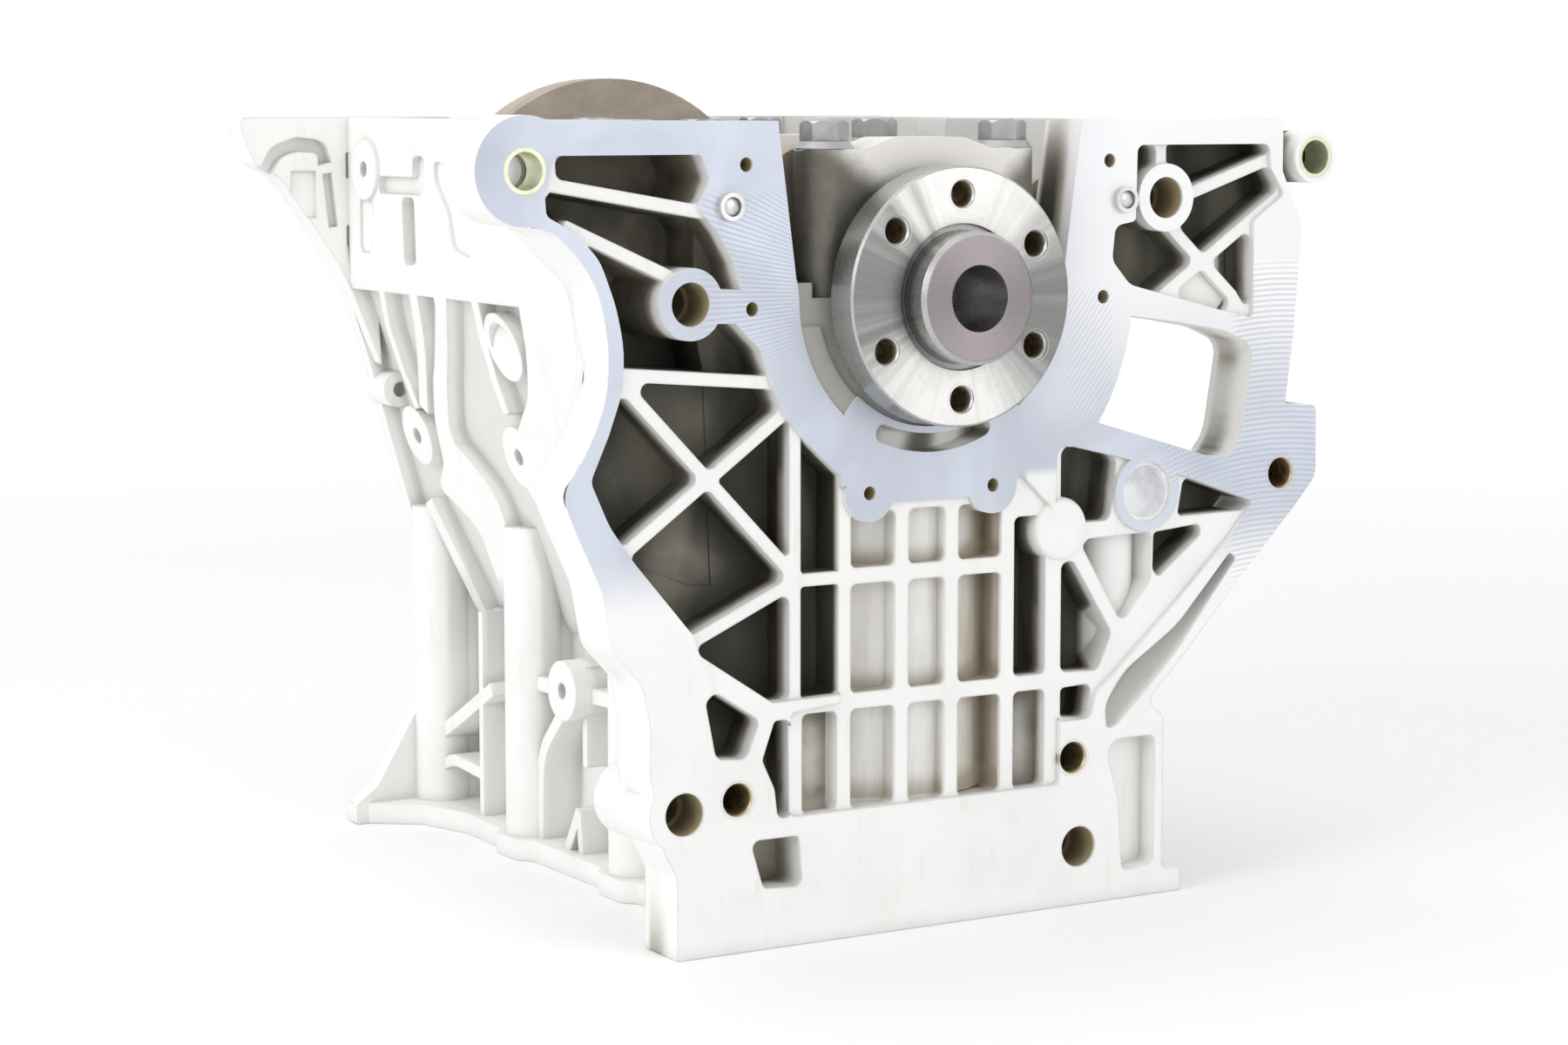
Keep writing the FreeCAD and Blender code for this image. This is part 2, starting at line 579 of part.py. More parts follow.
def seal_face_cuts():
    """Shallow seal recess, its two side pockets and the drain slot under it."""
    y0 = REAR_Y - 1
    y1 = REAR_Y + RECESS_D
    cuts = [rod_y(0, 0, SEAL_RECESS_R - 3, y0, y1)]
    top = SEAL_EDGE_R * math.sin(math.radians(SICKLE_START))
    cuts.append(rod_y(0, 0, SEAL_EDGE_R, y0, y1).common(block(-SEAL_EDGE_R, SEAL_EDGE_R, y0, y1, top, 0)))
    for start, stop in ((SICKLE_START, 228), (312, 540 - SICKLE_START)):
        cuts.append(ring_sector(SEAL_RECESS_R - 4, SEAL_EDGE_R, start, stop, y0, REAR_Y + SICKLE_DEPTH))
    upper = [(-SEAL_EDGE_R, 0, 0), (SEAL_EDGE_R, 0, 0), (66, RAIL_H + 2, 0), (-66, RAIL_H + 2, 0)]
    cuts.append(across(upper, y0, y1))
    slot_depth = REAR_Y + RECESS_D + 9
    cuts.append(ring_sector(SEAL_RECESS_R - 0.5, SEAL_EDGE_R + 0.5, 247, 294, y0, slot_depth))
    for degrees in (247, 294):
        x, h = polar((SEAL_RECESS_R + SEAL_EDGE_R) / 2, degrees)
        cuts.append(rod_y(x, h, (SEAL_EDGE_R - SEAL_RECESS_R) / 2 + 0.5, y0, slot_depth))
    return cuts


def grid_pockets():
    """Upright pockets of the cylinder body's end, with the barrel swelling through them."""
    cells = []
    for i in range(len(GRID_X) - 1):
        x0 = GRID_X[i] + GRID_RIB_T / 2
        x1 = GRID_X[i + 1] - GRID_RIB_T / 2
        ledge = GRID_RIB_T / 2
        rows = [(GRID_TOP - 2, GRID_RIB_1 + ledge), (GRID_RIB_1 - ledge, GRID_RIB_2 + ledge)]
        if i == len(GRID_X) - 2:
            rows = [(-84, GRID_RIB_2 + ledge)]
        rows.append((GRID_RIB_2 - ledge, GRID_FOOT))
        if i == 0:
            rows = rows[-1:]
        for top, foot in rows:
            corners = [(x0, top, 2.5), (x1, top, 2.5), (x1, foot, 2.5), (x0, foot, 2.5)]
            shallow = foot == GRID_FOOT and i in (0, len(GRID_X) - 2)
            depth = 9.0 if shallow else DEEP_POCKET - 5
            cells.append(across(corners, REAR_Y - 1, REAR_Y + depth))
    cells = joined(cells)
    tabs = [rod_y(side * SEAL_BOLTS[2][0], SEAL_BOLTS[2][1], TAB_R, REAR_Y - 2, REAR_Y + 60)
            for side in (-1, 1)]
    return cells.cut(joined(tabs))


def rounded_cells(field, ribs, keep, y0, depth):
    """Pockets that the ribs and bosses leave of a field, their corners rounded."""
    face = Part.Face(rounded_wire(field, lambda p: Vector(p.x, y0, CRANK_Z + p.y)))
    solids = [across(strip(a, b, RIB_T), y0 - 1, y0 + 1) for a, b in ribs]
    solids += [rod_y(x, h, r, y0 - 1, y0 + 1) for (x, h), r in keep]
    cells = []
    for cell in face.cut(joined(solids)).Faces:
        if cell.Area < 30:
            continue
        prism = cell.extrude(Vector(0, depth, 0))
        cells.append(soften_uprights(prism))
    return joined(cells)


def soften_uprights(prism):
    """Round the corners of a pocket that run along its depth, where they are sharp."""
    chosen = []
    for edge in prism.Edges:
        line = edge.Vertexes[-1].Point - edge.Vertexes[0].Point
        if abs(line.y) < 1 or abs(line.x) + abs(line.z) > 0.01:
            continue
        faces = [f for f in prism.Faces if any(e.isSame(edge) for e in f.Edges)]
        if len(faces) != 2:
            continue
        normals = []
        for face in faces:
            u, v = face.Surface.parameter(edge.Vertexes[0].Point)
            normals.append(face.normalAt(u, v))
        angle = math.degrees(normals[0].getAngle(normals[1]))
        if angle > 25:
            chosen.append(edge)
    for radius in (POCKET_ROUND, POCKET_ROUND / 2, POCKET_ROUND / 4):
        try:
            rounded = prism.makeFillet(radius, chosen)
            if rounded.isValid() and rounded.Volume > 0.8 * prism.Volume:
                return rounded
        except Exception:
            continue
    return prism


def plate_pockets():
    """Every pocket of the flywheel-end face."""
    y0 = REAR_Y - 1
    shallow = PLATE_T - FLOOR_T + 1
    left_keep = [(LEFT_BOSS, BOSS_R), (SIDE_LUG, 12.5)]
    upright_ribs = [((GRID_X[0], -40), (GRID_X[0], -150)), ((GRID_X[1], -50), (GRID_X[1], -150))]
    level_rib = [((-60, GRID_RIB_1), (-30, GRID_RIB_1))]
    left_ribs = LEFT_RIBS + upright_ribs + level_rib
    field = rounded_cells(LEFT_FIELD, left_ribs, left_keep, y0, DEEP_POCKET + 1)
    field = field.cut(across(strip(*LINK_RIB, LINK_WIDTH), y0 - 1, REAR_Y + DEEP_POCKET + 2))
    reach = 2 * SIDE_X
    near = field.common(block(-reach, reach, y0, y0 + shallow, -reach, reach))
    guard = [rod_y(0, 0, BAY_R + WALL, y0, REAR_Y + 60),
             block(-BAY_R - WALL, BAY_R + WALL, y0, REAR_Y + 60, 0, RAIL_H + 2)]
    deep = field.common(flare(FLOOR_T)).cut(joined(guard))
    right = rounded_cells(RIGHT_FIELD, RIGHT_RIBS, [(RIGHT_BOSS, BOSS_R)], y0, shallow)
    right = right.cut(across(PALE_CELL, REAR_Y + PALE_POCKET, REAR_Y + PLATE_T))
    through = across(THROUGH_CELL, y0, REAR_Y + PLATE_T + 1)
    small = [across(corners, y0, y0 + shallow) for corners in LOW_POCKETS]
    column = rod_z(91, REAR_Y + 20, 12.0, CRANK_Z - 140, CRANK_Z - 90)
    keep = joined([column, rod_y(*SOLID_BOSS, SOLID_BOSS_R, y0, y0 + PLATE_T),
                   rod_y(*CORE_PLUG, PLUG_BOSS_R, y0, y0 + PLATE_T)])
    small = joined(small).cut(keep)
    slot = across(STRUT_SLOT, y0, y0 + shallow)
    foot = across(FOOT_RECESS, y0, REAR_Y + 9)
    return [near, deep, right, through, small, slot, foot]


def rib_tops():
    """Shallow steps that set the ribs of each field below the machined face."""
    y0 = REAR_Y - 1
    y1 = REAR_Y + RIB_RECESS
    x, h = SEAL_BOLTS[2]
    fields = [
        (LEFT_FIELD, [rod_y(*LEFT_BOSS, BOSS_R, y0, y1), across(strip(*LINK_RIB, LINK_WIDTH), y0, y1)]),
        (CENTRE_FIELD, [rod_y(side * x, h, TAB_R, y0, y1) for side in (-1, 1)]),
        (RIGHT_FIELD, [rod_y(*RIGHT_BOSS, BOSS_R, y0, y1)]),
        (LOW_FIELD, [rod_y(*CORE_PLUG, PLUG_BOSS_R, y0, y1)]),
    ]
    return [across(outline, y0, y1).cut(joined(keep)) for outline, keep in fields]


def rear_holes():
    """Bores of the flywheel-end face."""
    y0 = REAR_Y - 1
    deep = REAR_Y + 34
    cuts = []
    for x, h in (LEFT_BOSS, RIGHT_BOSS, LOW_LEFT_BOSS, LOW_RIGHT_BOSS):
        cuts.append(rod_y(x, h, BELL_DOWEL_R, y0, REAR_Y + 16))
        cuts.append(rod_y(x, h, BELL_BOLT_R, y0, deep))
    for x, h in (RIGHT_LUG, LOW_LEFT_INNER, LOW_RIGHT_INNER):
        cuts.append(rod_y(x, h, BELL_BOLT_R, y0, deep))
    cuts.append(rod_y(*SIDE_LUG, LUG_BORE_R, y0, REAR_Y + 15))
    cuts.append(rod_y(*SIDE_LUG, BELL_BOLT_R, y0, deep))
    cuts.append(rod_y(*RIGHT_TOP_LUG, LUG_BORE_R, y0, deep))
    cuts.append(rod_y(*CORE_PLUG, PLUG_R, y0, REAR_Y + 13))
    for side in (-1, 1):
        cuts += [rod_y(side * x, h, SEAL_BOLT_R, y0, REAR_Y + 14) for x, h in SEAL_BOLTS]
        cuts.append(rod_y(side * DOWEL_X, DOWEL_H, DOWEL_R, y0, REAR_Y + 8))
    return cuts


def deck_cuts():
    """Bores, coolant jacket and bolt holes of the deck."""
    cuts = []
    for y in CYLINDER_Y:
        cuts.append(rod_z(0, y, LINER_R + LINER_FIT, -1, LINER_LENGTH))
        cuts.append(rod_z(0, y, LINER_R + BORE_RELIEF, LINER_LENGTH, LINER_LENGTH + 30))
    outer = joined([rod_z(0, y, JACKET_R, -1, JACKET_DEPTH) for y in CYLINDER_Y])
    inner = joined([rod_z(0, y, BARREL_R, -2, JACKET_DEPTH + 1) for y in CYLINDER_Y])
    reach = CYLINDER_Y[-1] + 18
    limits = Part.makeBox(200, 2 * reach, 200, Vector(-100, -reach, -1))
    cuts.append(outer.cut(inner).common(limits))
    for side in (-1, 1):
        for y in MAIN_Y[1:-1]:
            cuts.append(rod_z(side * COLUMN_X, column_y(y), HEAD_BOLT_R, -1, HEAD_BOLT_DEPTH))
            cuts.append(rod_z(side * OIL_DRAIN_X, y, OIL_DRAIN_R, -1, OIL_DRAIN_DEPTH))
        for y in (MAIN_Y[0], MAIN_Y[-1]):
            cuts.append(rod_z(side * END_BOLT_X, column_y(y), HEAD_BOLT_R, -1, HEAD_BOLT_DEPTH))
    return cuts


def rail_and_side_cuts():
    """Tapped holes of the sump rail, the caps' bolt holes and the side wall's holes."""
    cuts = []
    for y in MAIN_Y:
        for side in (-1, 1):
            hole_r = BOLT_R + THREAD_FIT
            cuts.append(rod_z(side * CAP_BOLT_X, y, hole_r, CRANK_Z - BOLT_DEPTH - 4, CRANK_Z + 1))
    for side in (-1, 1):
        for y in SUMP_BOLT_Y:
            cuts.append(rod_z(side * SUMP_BOLT_X, y, SUMP_BOLT_R, RAIL_Z - SUMP_BOLT_DEPTH, RAIL_Z + 1))
        for at in SIDE_BOSSES:
            cuts.append(rod_x(*at, SIDE_HOLE_R, *sorted((side * (SIDE_X - 30), side * SIDE_X))))
        cuts.append(rod_x(*SIDE_PLUG, SIDE_PLUG_R, *sorted((side * (SIDE_X - 7.5), side * SIDE_X))))
        cuts.append(rod_x(*SKIRT_BOSS, SIDE_HOLE_R, *sorted((side * (SIDE_X - 8), side * (SIDE_X + 3)))))
        cuts.append(rod_x(*LOW_BOSS, SIDE_HOLE_R, *sorted((side * 66, side * (DECK_HALF + 1)))))
        for outline, depth in SKIRT_POCKETS:
            cuts.append(along(outline, *sorted((side * (SIDE_X - depth), side * (SIDE_X + 1)))))
        for x, h in COVER_BOLTS:
            cuts.append(rod_y(side * x, h, COVER_BOLT_R, FRONT_Y - COVER_BOLT_DEPTH, FRONT_Y + 1))
    return cuts


def engine_block():
    """The aluminium casting."""
    hull = across(crankcase_profile(ENVELOPE_INSET), REAR_Y, FRONT_Y)
    solids = [cylinder_body(), hull, envelope(FRONT_Y - FRONT_LIP_T, FRONT_Y, LOW_WALL_H, RAIL_H)]
    solids.append(envelope(REAR_Y, FRONT_Y, LEDGE_H - LEDGE_T, RAIL_H))
    solids += side_details() + front_ears() + gussets()
    for side in (-1, 1):
        solids += [rod_y(side * x, h, COVER_BOSS_R, FRONT_Y - COVER_BOLT_DEPTH, FRONT_Y) for x, h in COVER_BOLTS]
    solids += [plate(), flare(0)]
    body = joined(solids)
    guards = [rod_z(0, CYLINDER_Y[0], 50.0, 0, CRANK_Z),
              block(-JACKET_R - WALL, JACKET_R + WALL, REAR_Y + 33, REAR_Y + 80, DECK_H, 0)]
    cells = grid_pockets().cut(joined(guards))
    cuts = [cells] + plate_pockets() + crankcase_space() + seal_face_cuts() + rear_holes()
    cuts += rib_tops() + deck_cuts() + rail_and_side_cuts()
    round_end = rod_y(0, 0, BAY_R + WALL, REAR_Y - 2, REAR_Y + 60)
    cuts.append(across(WINDOW, REAR_Y - 1, REAR_Y + 42).cut(round_end))
    body = body.cut(cuts)
    biggest = max(body.Solids, key=lambda s: s.Volume)
    print("block solids", [round(s.Volume) for s in body.Solids])
    return biggest


def liner(y):
    """Iron cylinder liner cast into its barrel."""
    tube = rod_z(0, y, LINER_R, 0, LINER_LENGTH)
    return tube.cut(rod_z(0, y, BORE_R, -1, LINER_LENGTH + 1))


def web(y0, y1, pin_degrees, weight_r, weight_half):
    """Crank web with its counterweight opposite the crankpin."""
    outline = [(-30, THROW + 28, 26), (30, THROW + 28, 26), (40, 0, 40), (31, -36, 18),
               (-31, -36, 18), (-40, 0, 40)]
    arm = across(outline, y0, y1)
    weight = ring_sector(10, weight_r, 270 - weight_half, 270 + weight_half, y0, y1)
    weight = weight.makeFillet(3.0, [e for e in weight.Edges if abs(e.Length - (y1 - y0)) < 0.01
                                     and e.CenterOfMass.distanceToPoint(Vector(0, (y0 + y1) / 2, CRANK_Z)) > 30])
    shape = arm.fuse(weight)
    shape.rotate(Vector(0, 0, CRANK_Z), Vector(0, 1, 0), 90 - pin_degrees)
    return shape


def crankshaft():
    """Forged crankshaft with its flywheel flange, front crankpin down at the deck."""
    half_journal = JOURNAL_WIDTH / 2
    solids = []
    for y in MAIN_Y:
        y0 = FLANGE_Y + 4 if y == MAIN_Y[0] else y - half_journal
        solids.append(rod_y(0, 0, JOURNAL_R, y0, y + half_journal))
    pin_degrees = [150.0, 30.0, -90.0]
    for i, y in enumerate(CYLINDER_Y):
        x, h = polar(THROW, pin_degrees[i])
        solids.append(rod_y(x, h, PIN_R, y - PIN_WIDTH / 2, y + PIN_WIDTH / 2))
        for end in (-1, 1):
            outermost = (i == 0 and end < 0) or (i == CYLINDERS - 1 and end > 0)
            near = y + end * PIN_WIDTH / 2
            far = y + end * (BORE_PITCH / 2 - half_journal)
            reach, spread = (COUNTERWEIGHT_R, 62) if outermost else (SMALL_WEIGHT_R, 48)
            solids.append(web(min(near, far), max(near, far), pin_degrees[i], reach, spread))
    flange = rod_y(0, 0, FLANGE_R, FLANGE_Y, FLANGE_Y + FLANGE_T)
    flange = flange.makeChamfer(0.8, [e for e in flange.Edges if e.Curve.TypeId == "Part::GeomCircle"])
    spigot = rod_y(0, 0, SPIGOT_R, FLANGE_Y - SPIGOT_OUT, FLANGE_Y + 4)
    rim = [e for e in spigot.Edges if abs(e.CenterOfMass.y - (FLANGE_Y - SPIGOT_OUT)) < 0.01]
    spigot = spigot.makeChamfer(1.8, [rim[0]])
    nose_y = MAIN_Y[-1] + half_journal
    nose = rod_y(0, 0, NOSE_R, nose_y - 2, nose_y + NOSE_LENGTH)
    tip = [e for e in nose.Edges if abs(e.CenterOfMass.y - (nose_y + NOSE_LENGTH)) < 0.01]
    nose = nose.makeChamfer(1.5, [tip[0]])
    collar = rod_y(0, 0, JOURNAL_R + 4, FLANGE_Y + FLANGE_T - 1, REAR_Y + RECESS_D - 1.0)
    body = joined(solids + [flange, spigot, nose, collar])
    cuts = [rod_y(0, 0, PILOT_R, FLANGE_Y - SPIGOT_OUT - 1, FLANGE_Y - SPIGOT_OUT + PILOT_DEPTH)]
    groove = rod_y(0, 0, SPIGOT_R + 2.4, FLANGE_Y - 1, FLANGE_Y + 1.6)
    cuts.append(groove.cut(rod_y(0, 0, SPIGOT_R, FLANGE_Y - 2, FLANGE_Y + 3)))
    for degrees in (90, 30, -30, -90, -150, 139):
        x, h = polar(FLANGE_PCD / 2, degrees)
        cuts.append(rod_y(x, h, FLANGE_BOLT_R, FLANGE_Y - 1, FLANGE_Y + FLANGE_T + 1))
    cuts.append(rod_y(0, 0, NOSE_BOLT_R, nose_y + NOSE_LENGTH - 38, nose_y + NOSE_LENGTH + 1))
    cuts.append(block(-2.5, 2.5, nose_y + 8, nose_y + NOSE_LENGTH - 8, NOSE_R - 3, NOSE_R + 2))
    for tool in cuts:
        body = body.cut(tool)
    return body


def main_cap(y):
    """Main bearing cap: an arched outline with rounded ends round its two bolts."""
    half = MAIN_WIDTH / 2
    crown = [(-CAP_HALF, 0, 0), (-CAP_HALF, CAP_SEAT_H, 1.5), (-27, CAP_SEAT_H, 6),
             (-15, CAP_SEAT_H + CAP_CROWN, 12)]
    outline = crown + [(-x, h, r) for x, h, r in reversed(crown)]
    plan = [block(-CAP_HALF + half, CAP_HALF - half, y - half, y + half, 0, 2 * CAP_SEAT_H)]
    plan += [rod_z(side * (CAP_HALF - half), y, half, CRANK_Z, CRANK_Z + 2 * CAP_SEAT_H)
             for side in (-1, 1)]
    body = across(outline, y - half, y + half).common(joined(plan))
    cuts = [rod_y(0, 0, HOUSING_R, y - half - 1, y + half + 1)]
    for side in (-1, 1):
        hole_r = BOLT_R + BOLT_CLEARANCE
        cuts.append(rod_z(side * CAP_BOLT_X, y, hole_r, CRANK_Z - 1, CRANK_Z + CAP_SEAT_H + 1))
    return body.cut(cuts)


def cap_bolt(x, y):
    """Flanged cap bolt, its head on the cap's seat."""
    seat = CRANK_Z + CAP_SEAT_H
    top = seat + WASHER_T + HEAD_H
    shank = rod_z(x, y, BOLT_R, CRANK_Z - BOLT_DEPTH, seat + 1)
    washer = Part.makeCone(WASHER_R, HEAD_R + 0.4, WASHER_T, Vector(x, y, seat))
    corners = [Vector(x, y, seat) + Vector(*polar(HEAD_R, 60 * i + 30), 0) for i in range(6)]
    head = Part.Face(Part.makePolygon(corners + corners[:1])).extrude(Vector(0, 0, top - seat))
    rounding = rod_z(x, y, HEAD_R, seat, top - HEAD_CHAMFER)
    bevel = Part.makeCone(HEAD_R, HEAD_R - HEAD_CHAMFER, HEAD_CHAMFER, Vector(x, y, top - HEAD_CHAMFER))
    head = head.common(joined([rounding, bevel]))
    dimple = rod_z(x, y, HEAD_R / 2, top - HEAD_CHAMFER, top + 1)
    return joined([shank, washer, head]).cut(dimple)


def shell_half(y, upper):
    """Half of a plain bearing, the upper one in its cap."""
    half = SHELL_WIDTH / 2
    ring = rod_y(0, 0, HOUSING_R, y - half, y + half).cut(
        rod_y(0, 0, JOURNAL_R + OIL_CLEARANCE, y - half - 1, y + half + 1))
    low, high = (0, 40) if upper else (-40, 0)
    return ring.common(block(-40, 40, y - half, y + half, low, high))


def thrust_washer(side):
    """Half ring that takes the crankshaft's end load at the third main."""
    y = MAIN_Y[2] + side * MAIN_WIDTH / 2
    thick = (JOURNAL_WIDTH - MAIN_WIDTH) / 2 - THRUST_CLEARANCE
    y0, y1 = sorted((y, y + side * thick))
    ring = rod_y(0, 0, THRUST_R, y0, y1).cut(rod_y(0, 0, HOUSING_R, y0 - 1, y1 + 1))
    return ring.common(block(-50, 50, y0, y1, -50, 0))


def rear_plugs():
    """Pressed cup of the coolant core plug."""
    cup = rod_y(*CORE_PLUG, PLUG_R, REAR_Y + 2, REAR_Y + 12)
    inside = rod_y(*CORE_PLUG, PLUG_R - 1.6, REAR_Y + 1, REAR_Y + 10)
    rim = [e for e in inside.Edges if abs(e.CenterOfMass.y - (REAR_Y + 10)) < 0.01]
    inside = inside.makeFillet(3.0, [rim[0]])
    return cup.cut(inside)


def dowel(x, h):
    """Hollow locating dowel of the rear seal carrier."""
    tube = rod_y(x, h, DOWEL_R, REAR_Y - 2.5, REAR_Y + 8)
    return tube.cut(rod_y(x, h, DOWEL_R - 1.6, REAR_Y - 4, REAR_Y + 9))


def lug_sleeve(x, h, y0, length):
    """Spring steel sleeve in a flange lug."""
    tube = rod_y(x, h, LUG_BORE_R, y0, y0 + length)
    return tube.cut(rod_y(x, h, LUG_BORE_R - 1.6, y0 - 1, y0 + length + 1))


os.makedirs("parts", exist_ok=True)
save("engine_block", engine_block())
save("crankshaft", crankshaft())
for number, y in enumerate(reversed(CYLINDER_Y), 1):
    save("cylinder_liner_%d" % number, liner(y))
for number, y in enumerate(reversed(MAIN_Y), 1):
    save("main_bearing_cap_%d" % number, main_cap(y))
    save("bearing_shell_block_%d" % number, shell_half(y, False))
    save("bearing_shell_cap_%d" % number, shell_half(y, True))
    save("cap_bolt_left_%d" % number, cap_bolt(-CAP_BOLT_X, y))
    save("cap_bolt_right_%d" % number, cap_bolt(CAP_BOLT_X, y))
save("thrust_washer_rear", thrust_washer(-1))
save("thrust_washer_front", thrust_washer(1))
save("rear_core_plug", rear_plugs())
save("seal_dowel_left", dowel(-DOWEL_X, DOWEL_H))
save("seal_dowel_right", dowel(DOWEL_X, DOWEL_H))
save("lug_sleeve_left", lug_sleeve(*SIDE_LUG, REAR_Y, 12.0))
save("lug_sleeve_right", lug_sleeve(*RIGHT_TOP_LUG, REAR_Y, 14.0))
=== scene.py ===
"""Finishes, small fittings and stage for the engine block, as an add-on with one button for each group."""
import json
import math

import bmesh
import bpy
from mathutils import Matrix, Vector


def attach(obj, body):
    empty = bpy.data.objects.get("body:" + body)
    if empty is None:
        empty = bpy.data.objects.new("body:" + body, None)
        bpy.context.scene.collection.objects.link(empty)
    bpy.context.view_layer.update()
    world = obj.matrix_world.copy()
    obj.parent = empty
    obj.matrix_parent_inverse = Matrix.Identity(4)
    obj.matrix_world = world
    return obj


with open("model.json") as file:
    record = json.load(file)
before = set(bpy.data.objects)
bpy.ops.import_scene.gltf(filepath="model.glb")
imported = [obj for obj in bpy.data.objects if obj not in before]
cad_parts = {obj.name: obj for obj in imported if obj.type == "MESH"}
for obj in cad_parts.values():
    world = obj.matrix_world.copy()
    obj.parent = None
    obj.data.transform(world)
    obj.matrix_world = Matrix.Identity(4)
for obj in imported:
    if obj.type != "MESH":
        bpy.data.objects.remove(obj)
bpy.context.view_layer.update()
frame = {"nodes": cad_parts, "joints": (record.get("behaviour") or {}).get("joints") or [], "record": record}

bl_info = {
    "name": "Engine Block Dresser",
    "version": (1, 0, 0),
    "blender": (4, 5, 0),
    "location": "View3D > Sidebar > Engine Block",
    "description": "Gives the packed engine block its cast and machined finishes, threads and studio",
    "category": "Object",
}

MM = 0.001
FULL_TURN = 2 * math.pi
MOUNTS = {mount["name"]: mount for mount in frame["record"]["mounts"]}
REAR_FACE = MOUNTS["bellhousing_face"]["pos_m"][1]
RAIL_FACE = MOUNTS["sump_rail"]["pos_m"][2]
DECK_FACE = MOUNTS["head_deck"]["pos_m"][2]
FRONT_FACE = MOUNTS["front_cover_bolts_upper"]["pos_m"][1]
CRANK_AXIS = Vector(frame["joints"][0]["pos_m"])
FLANGE_FACE = MOUNTS["flywheel_bolt_1"]["pos_m"][1]
SPIGOT_FACE = MOUNTS["pilot_bore"]["pos_m"][1]
SLACK = 0.25 * MM

# Areas and places of the flywheel end are in millimetres: x from the crankshaft's axis, height above it,
# and depth behind the milled face. A band has four lengths: where it starts, is full, fades and ends

# Places that the face mill's lines show in, each a band of x and a band of height
FAN_AREA = (-100, -93, -62, -56), (-32, 0, 34, 40)
FAN_RADIUS = 84
SLANT_AREA = (58, 62, 78, 84), (-52, -44, -4, 4)
CROSSED_AREA = (102, 108, 143, 148), (-78, -73, -42, -36)
# Middle of the mill's wide path over the right limb
BOW_MIDDLE = 160
# Levels of the ribs between the barrels; film and painted shade gather just above each
LEVEL_RIBS = (-101.3, -147.2, -187.0)
CELL_WIDTH = (-38, -36, 34, 36)
CELL_DEPTH = (2.6, 4.5, 24, 30)
# Strut kept free of the pockets' painted shade: a point on its middle line, the line's normal and its half
# width
STRUT_POINT = (141, -106)
STRUT_NORMAL = (0.713, -0.701)
STRUT_HALF = 11
# Oil slot under the seal: its band of radius, and the width of one dark and bright sweep of painted
# reflection in it
SLOT_RING = (50, 52, 66, 68)
SLOT_WAVE = 25
STEP_DEPTH = (0.3, 0.6, 3.0, 3.4)
HOLE_DEPTH = (0.7, 1.6, 36, 38)
# Spacing of the fine lines: turned end faces, turned journals, and the milled deck, rail and front
RING_PITCH = 0.6
PASS_PITCH = 0.5
DECK_PITCH = 2.2
# Turned surfaces end here and forged ones start: depth for the flange, radius for the journals
FLANGE_EDGE = (9, 8)
JOURNAL_EDGE = (32, 30.5)

# Left edge of the flange against the trumpet behind it: height, then x on the flange, at the trumpet's rim,
# a little further back, and where the two have met
EDGE_BLEND = [
    (33.0, -168.2, -171.2, -157.5, -142.0), (29.0, -166.5, -167.6, -154.0, -139.4),
    (25.0, -153.8, -163.2, -150.2, -137.0), (20.5, -149.0, -158.0, -146.4, -134.0),
    (15.6, -144.0, -152.4, -142.4, -131.0), (9.5, -139.9, -145.6, -137.4, -127.4),
    (3.5, -137.2, -140.2, -133.2, -124.3), (-5.0, -134.6, -138.4, -131.6, -122.6),
    (-15.0, -133.4, -136.6, -129.6, -120.9), (-25.0, -133.7, -134.9, -127.9, -119.4),
    (-33.0, -134.6, -138.0, -130.0, -120.0), (-42.0, -138.4, -141.8, -132.4, -120.6),
    (-50.0, -142.2, -145.2, -134.4, -121.2), (-58.0, -147.6, -148.6, -136.6, -121.8),
    (-65.0, -151.6, -151.4, -138.0, -121.8), (-71.0, -149.6, -147.4, -135.6, -119.6),
]
# Depth of those four lines, and how far each stands out of the trumpet
BLEND_LINES = [(0.7, 0.0), (11.5, 0.9), (27.0, 0.7), (42.0, -0.8)]
# Floor of the pockets between the left field's crossed ribs, in x and height
POCKET_FLOOR = [
    (-134, -23.6), (-66, -29.8), (-60, -42), (-51, -55), (-57.5, -63), (-57.5, -101), (-103, -121.4),
    (-126, -92), (-137, -77), (-144, -60), (-137, -44),
]
POCKET_DEPTH = 18.4
POCKET_FLOOR_THICK = 2.0
BOSS_PLACE = (58.7, -89.8)
# Turned outlines: radius and depth
BOSS_PROFILE = [
    (12.4, 14.0), (12.0, 2.6), (11.5, 1.1), (10.9, 0.3), (10.2, -0.05), (5.0, -0.08), (0.0, -0.08),
]
DOWEL_PLACE = (85.5, 33.2)
DOWEL_END = [(3.45, 1.0), (3.45, -0.9), (2.9, -1.4), (0.0, -1.6)]
# Floors of the two cells beside the barrels, from the middle outwards: x and depth
CELL_FLOOR = [(10.5, 7.0), (17.0, 8.0), (23.0, 10.0), (29.0, 13.0), (35.0, 16.0), (46.0, 18.5), (56.5, 21.0)]
CELL_FLOOR_ENDS = (-79.0, -186.5)
# Places on the skirt that lie flush with it: ends along the crankshaft, then heights
SKIRT_FLUSH = [(125.0, 137.4, 37.5, 49.0), (128.5, 134.6, 1.6, 19.4)]
SKIRT_PAD_X = 105.42
SKIRT_PAD_THICK = 5.0
# Threads go no deeper than this
THREAD_REACH = 18.0
THREAD_PITCH = 1.6

# Name, place, width and power of each lamp, all aimed at one point
LAMPS = (
    ("key_lamp", (-2.0, -0.5, 1.2), 1.2, 15.0),
    ("fill_lamp", (0.6, -2.0, 0.9), 1.4, 6.0),
    ("top_lamp", (-0.2, 0.3, 2.0), 1.6, 9.0),
)
LAMP_TARGET = Vector((0.0, 0.0, 0.15))
WHITE = (1.0, 1.0, 1.0)
PAPER = (0.93, 0.93, 0.93)
# Distance from the part, in metres, over which the paper turns white
PAPER_FADE = (0.45, 1.6)
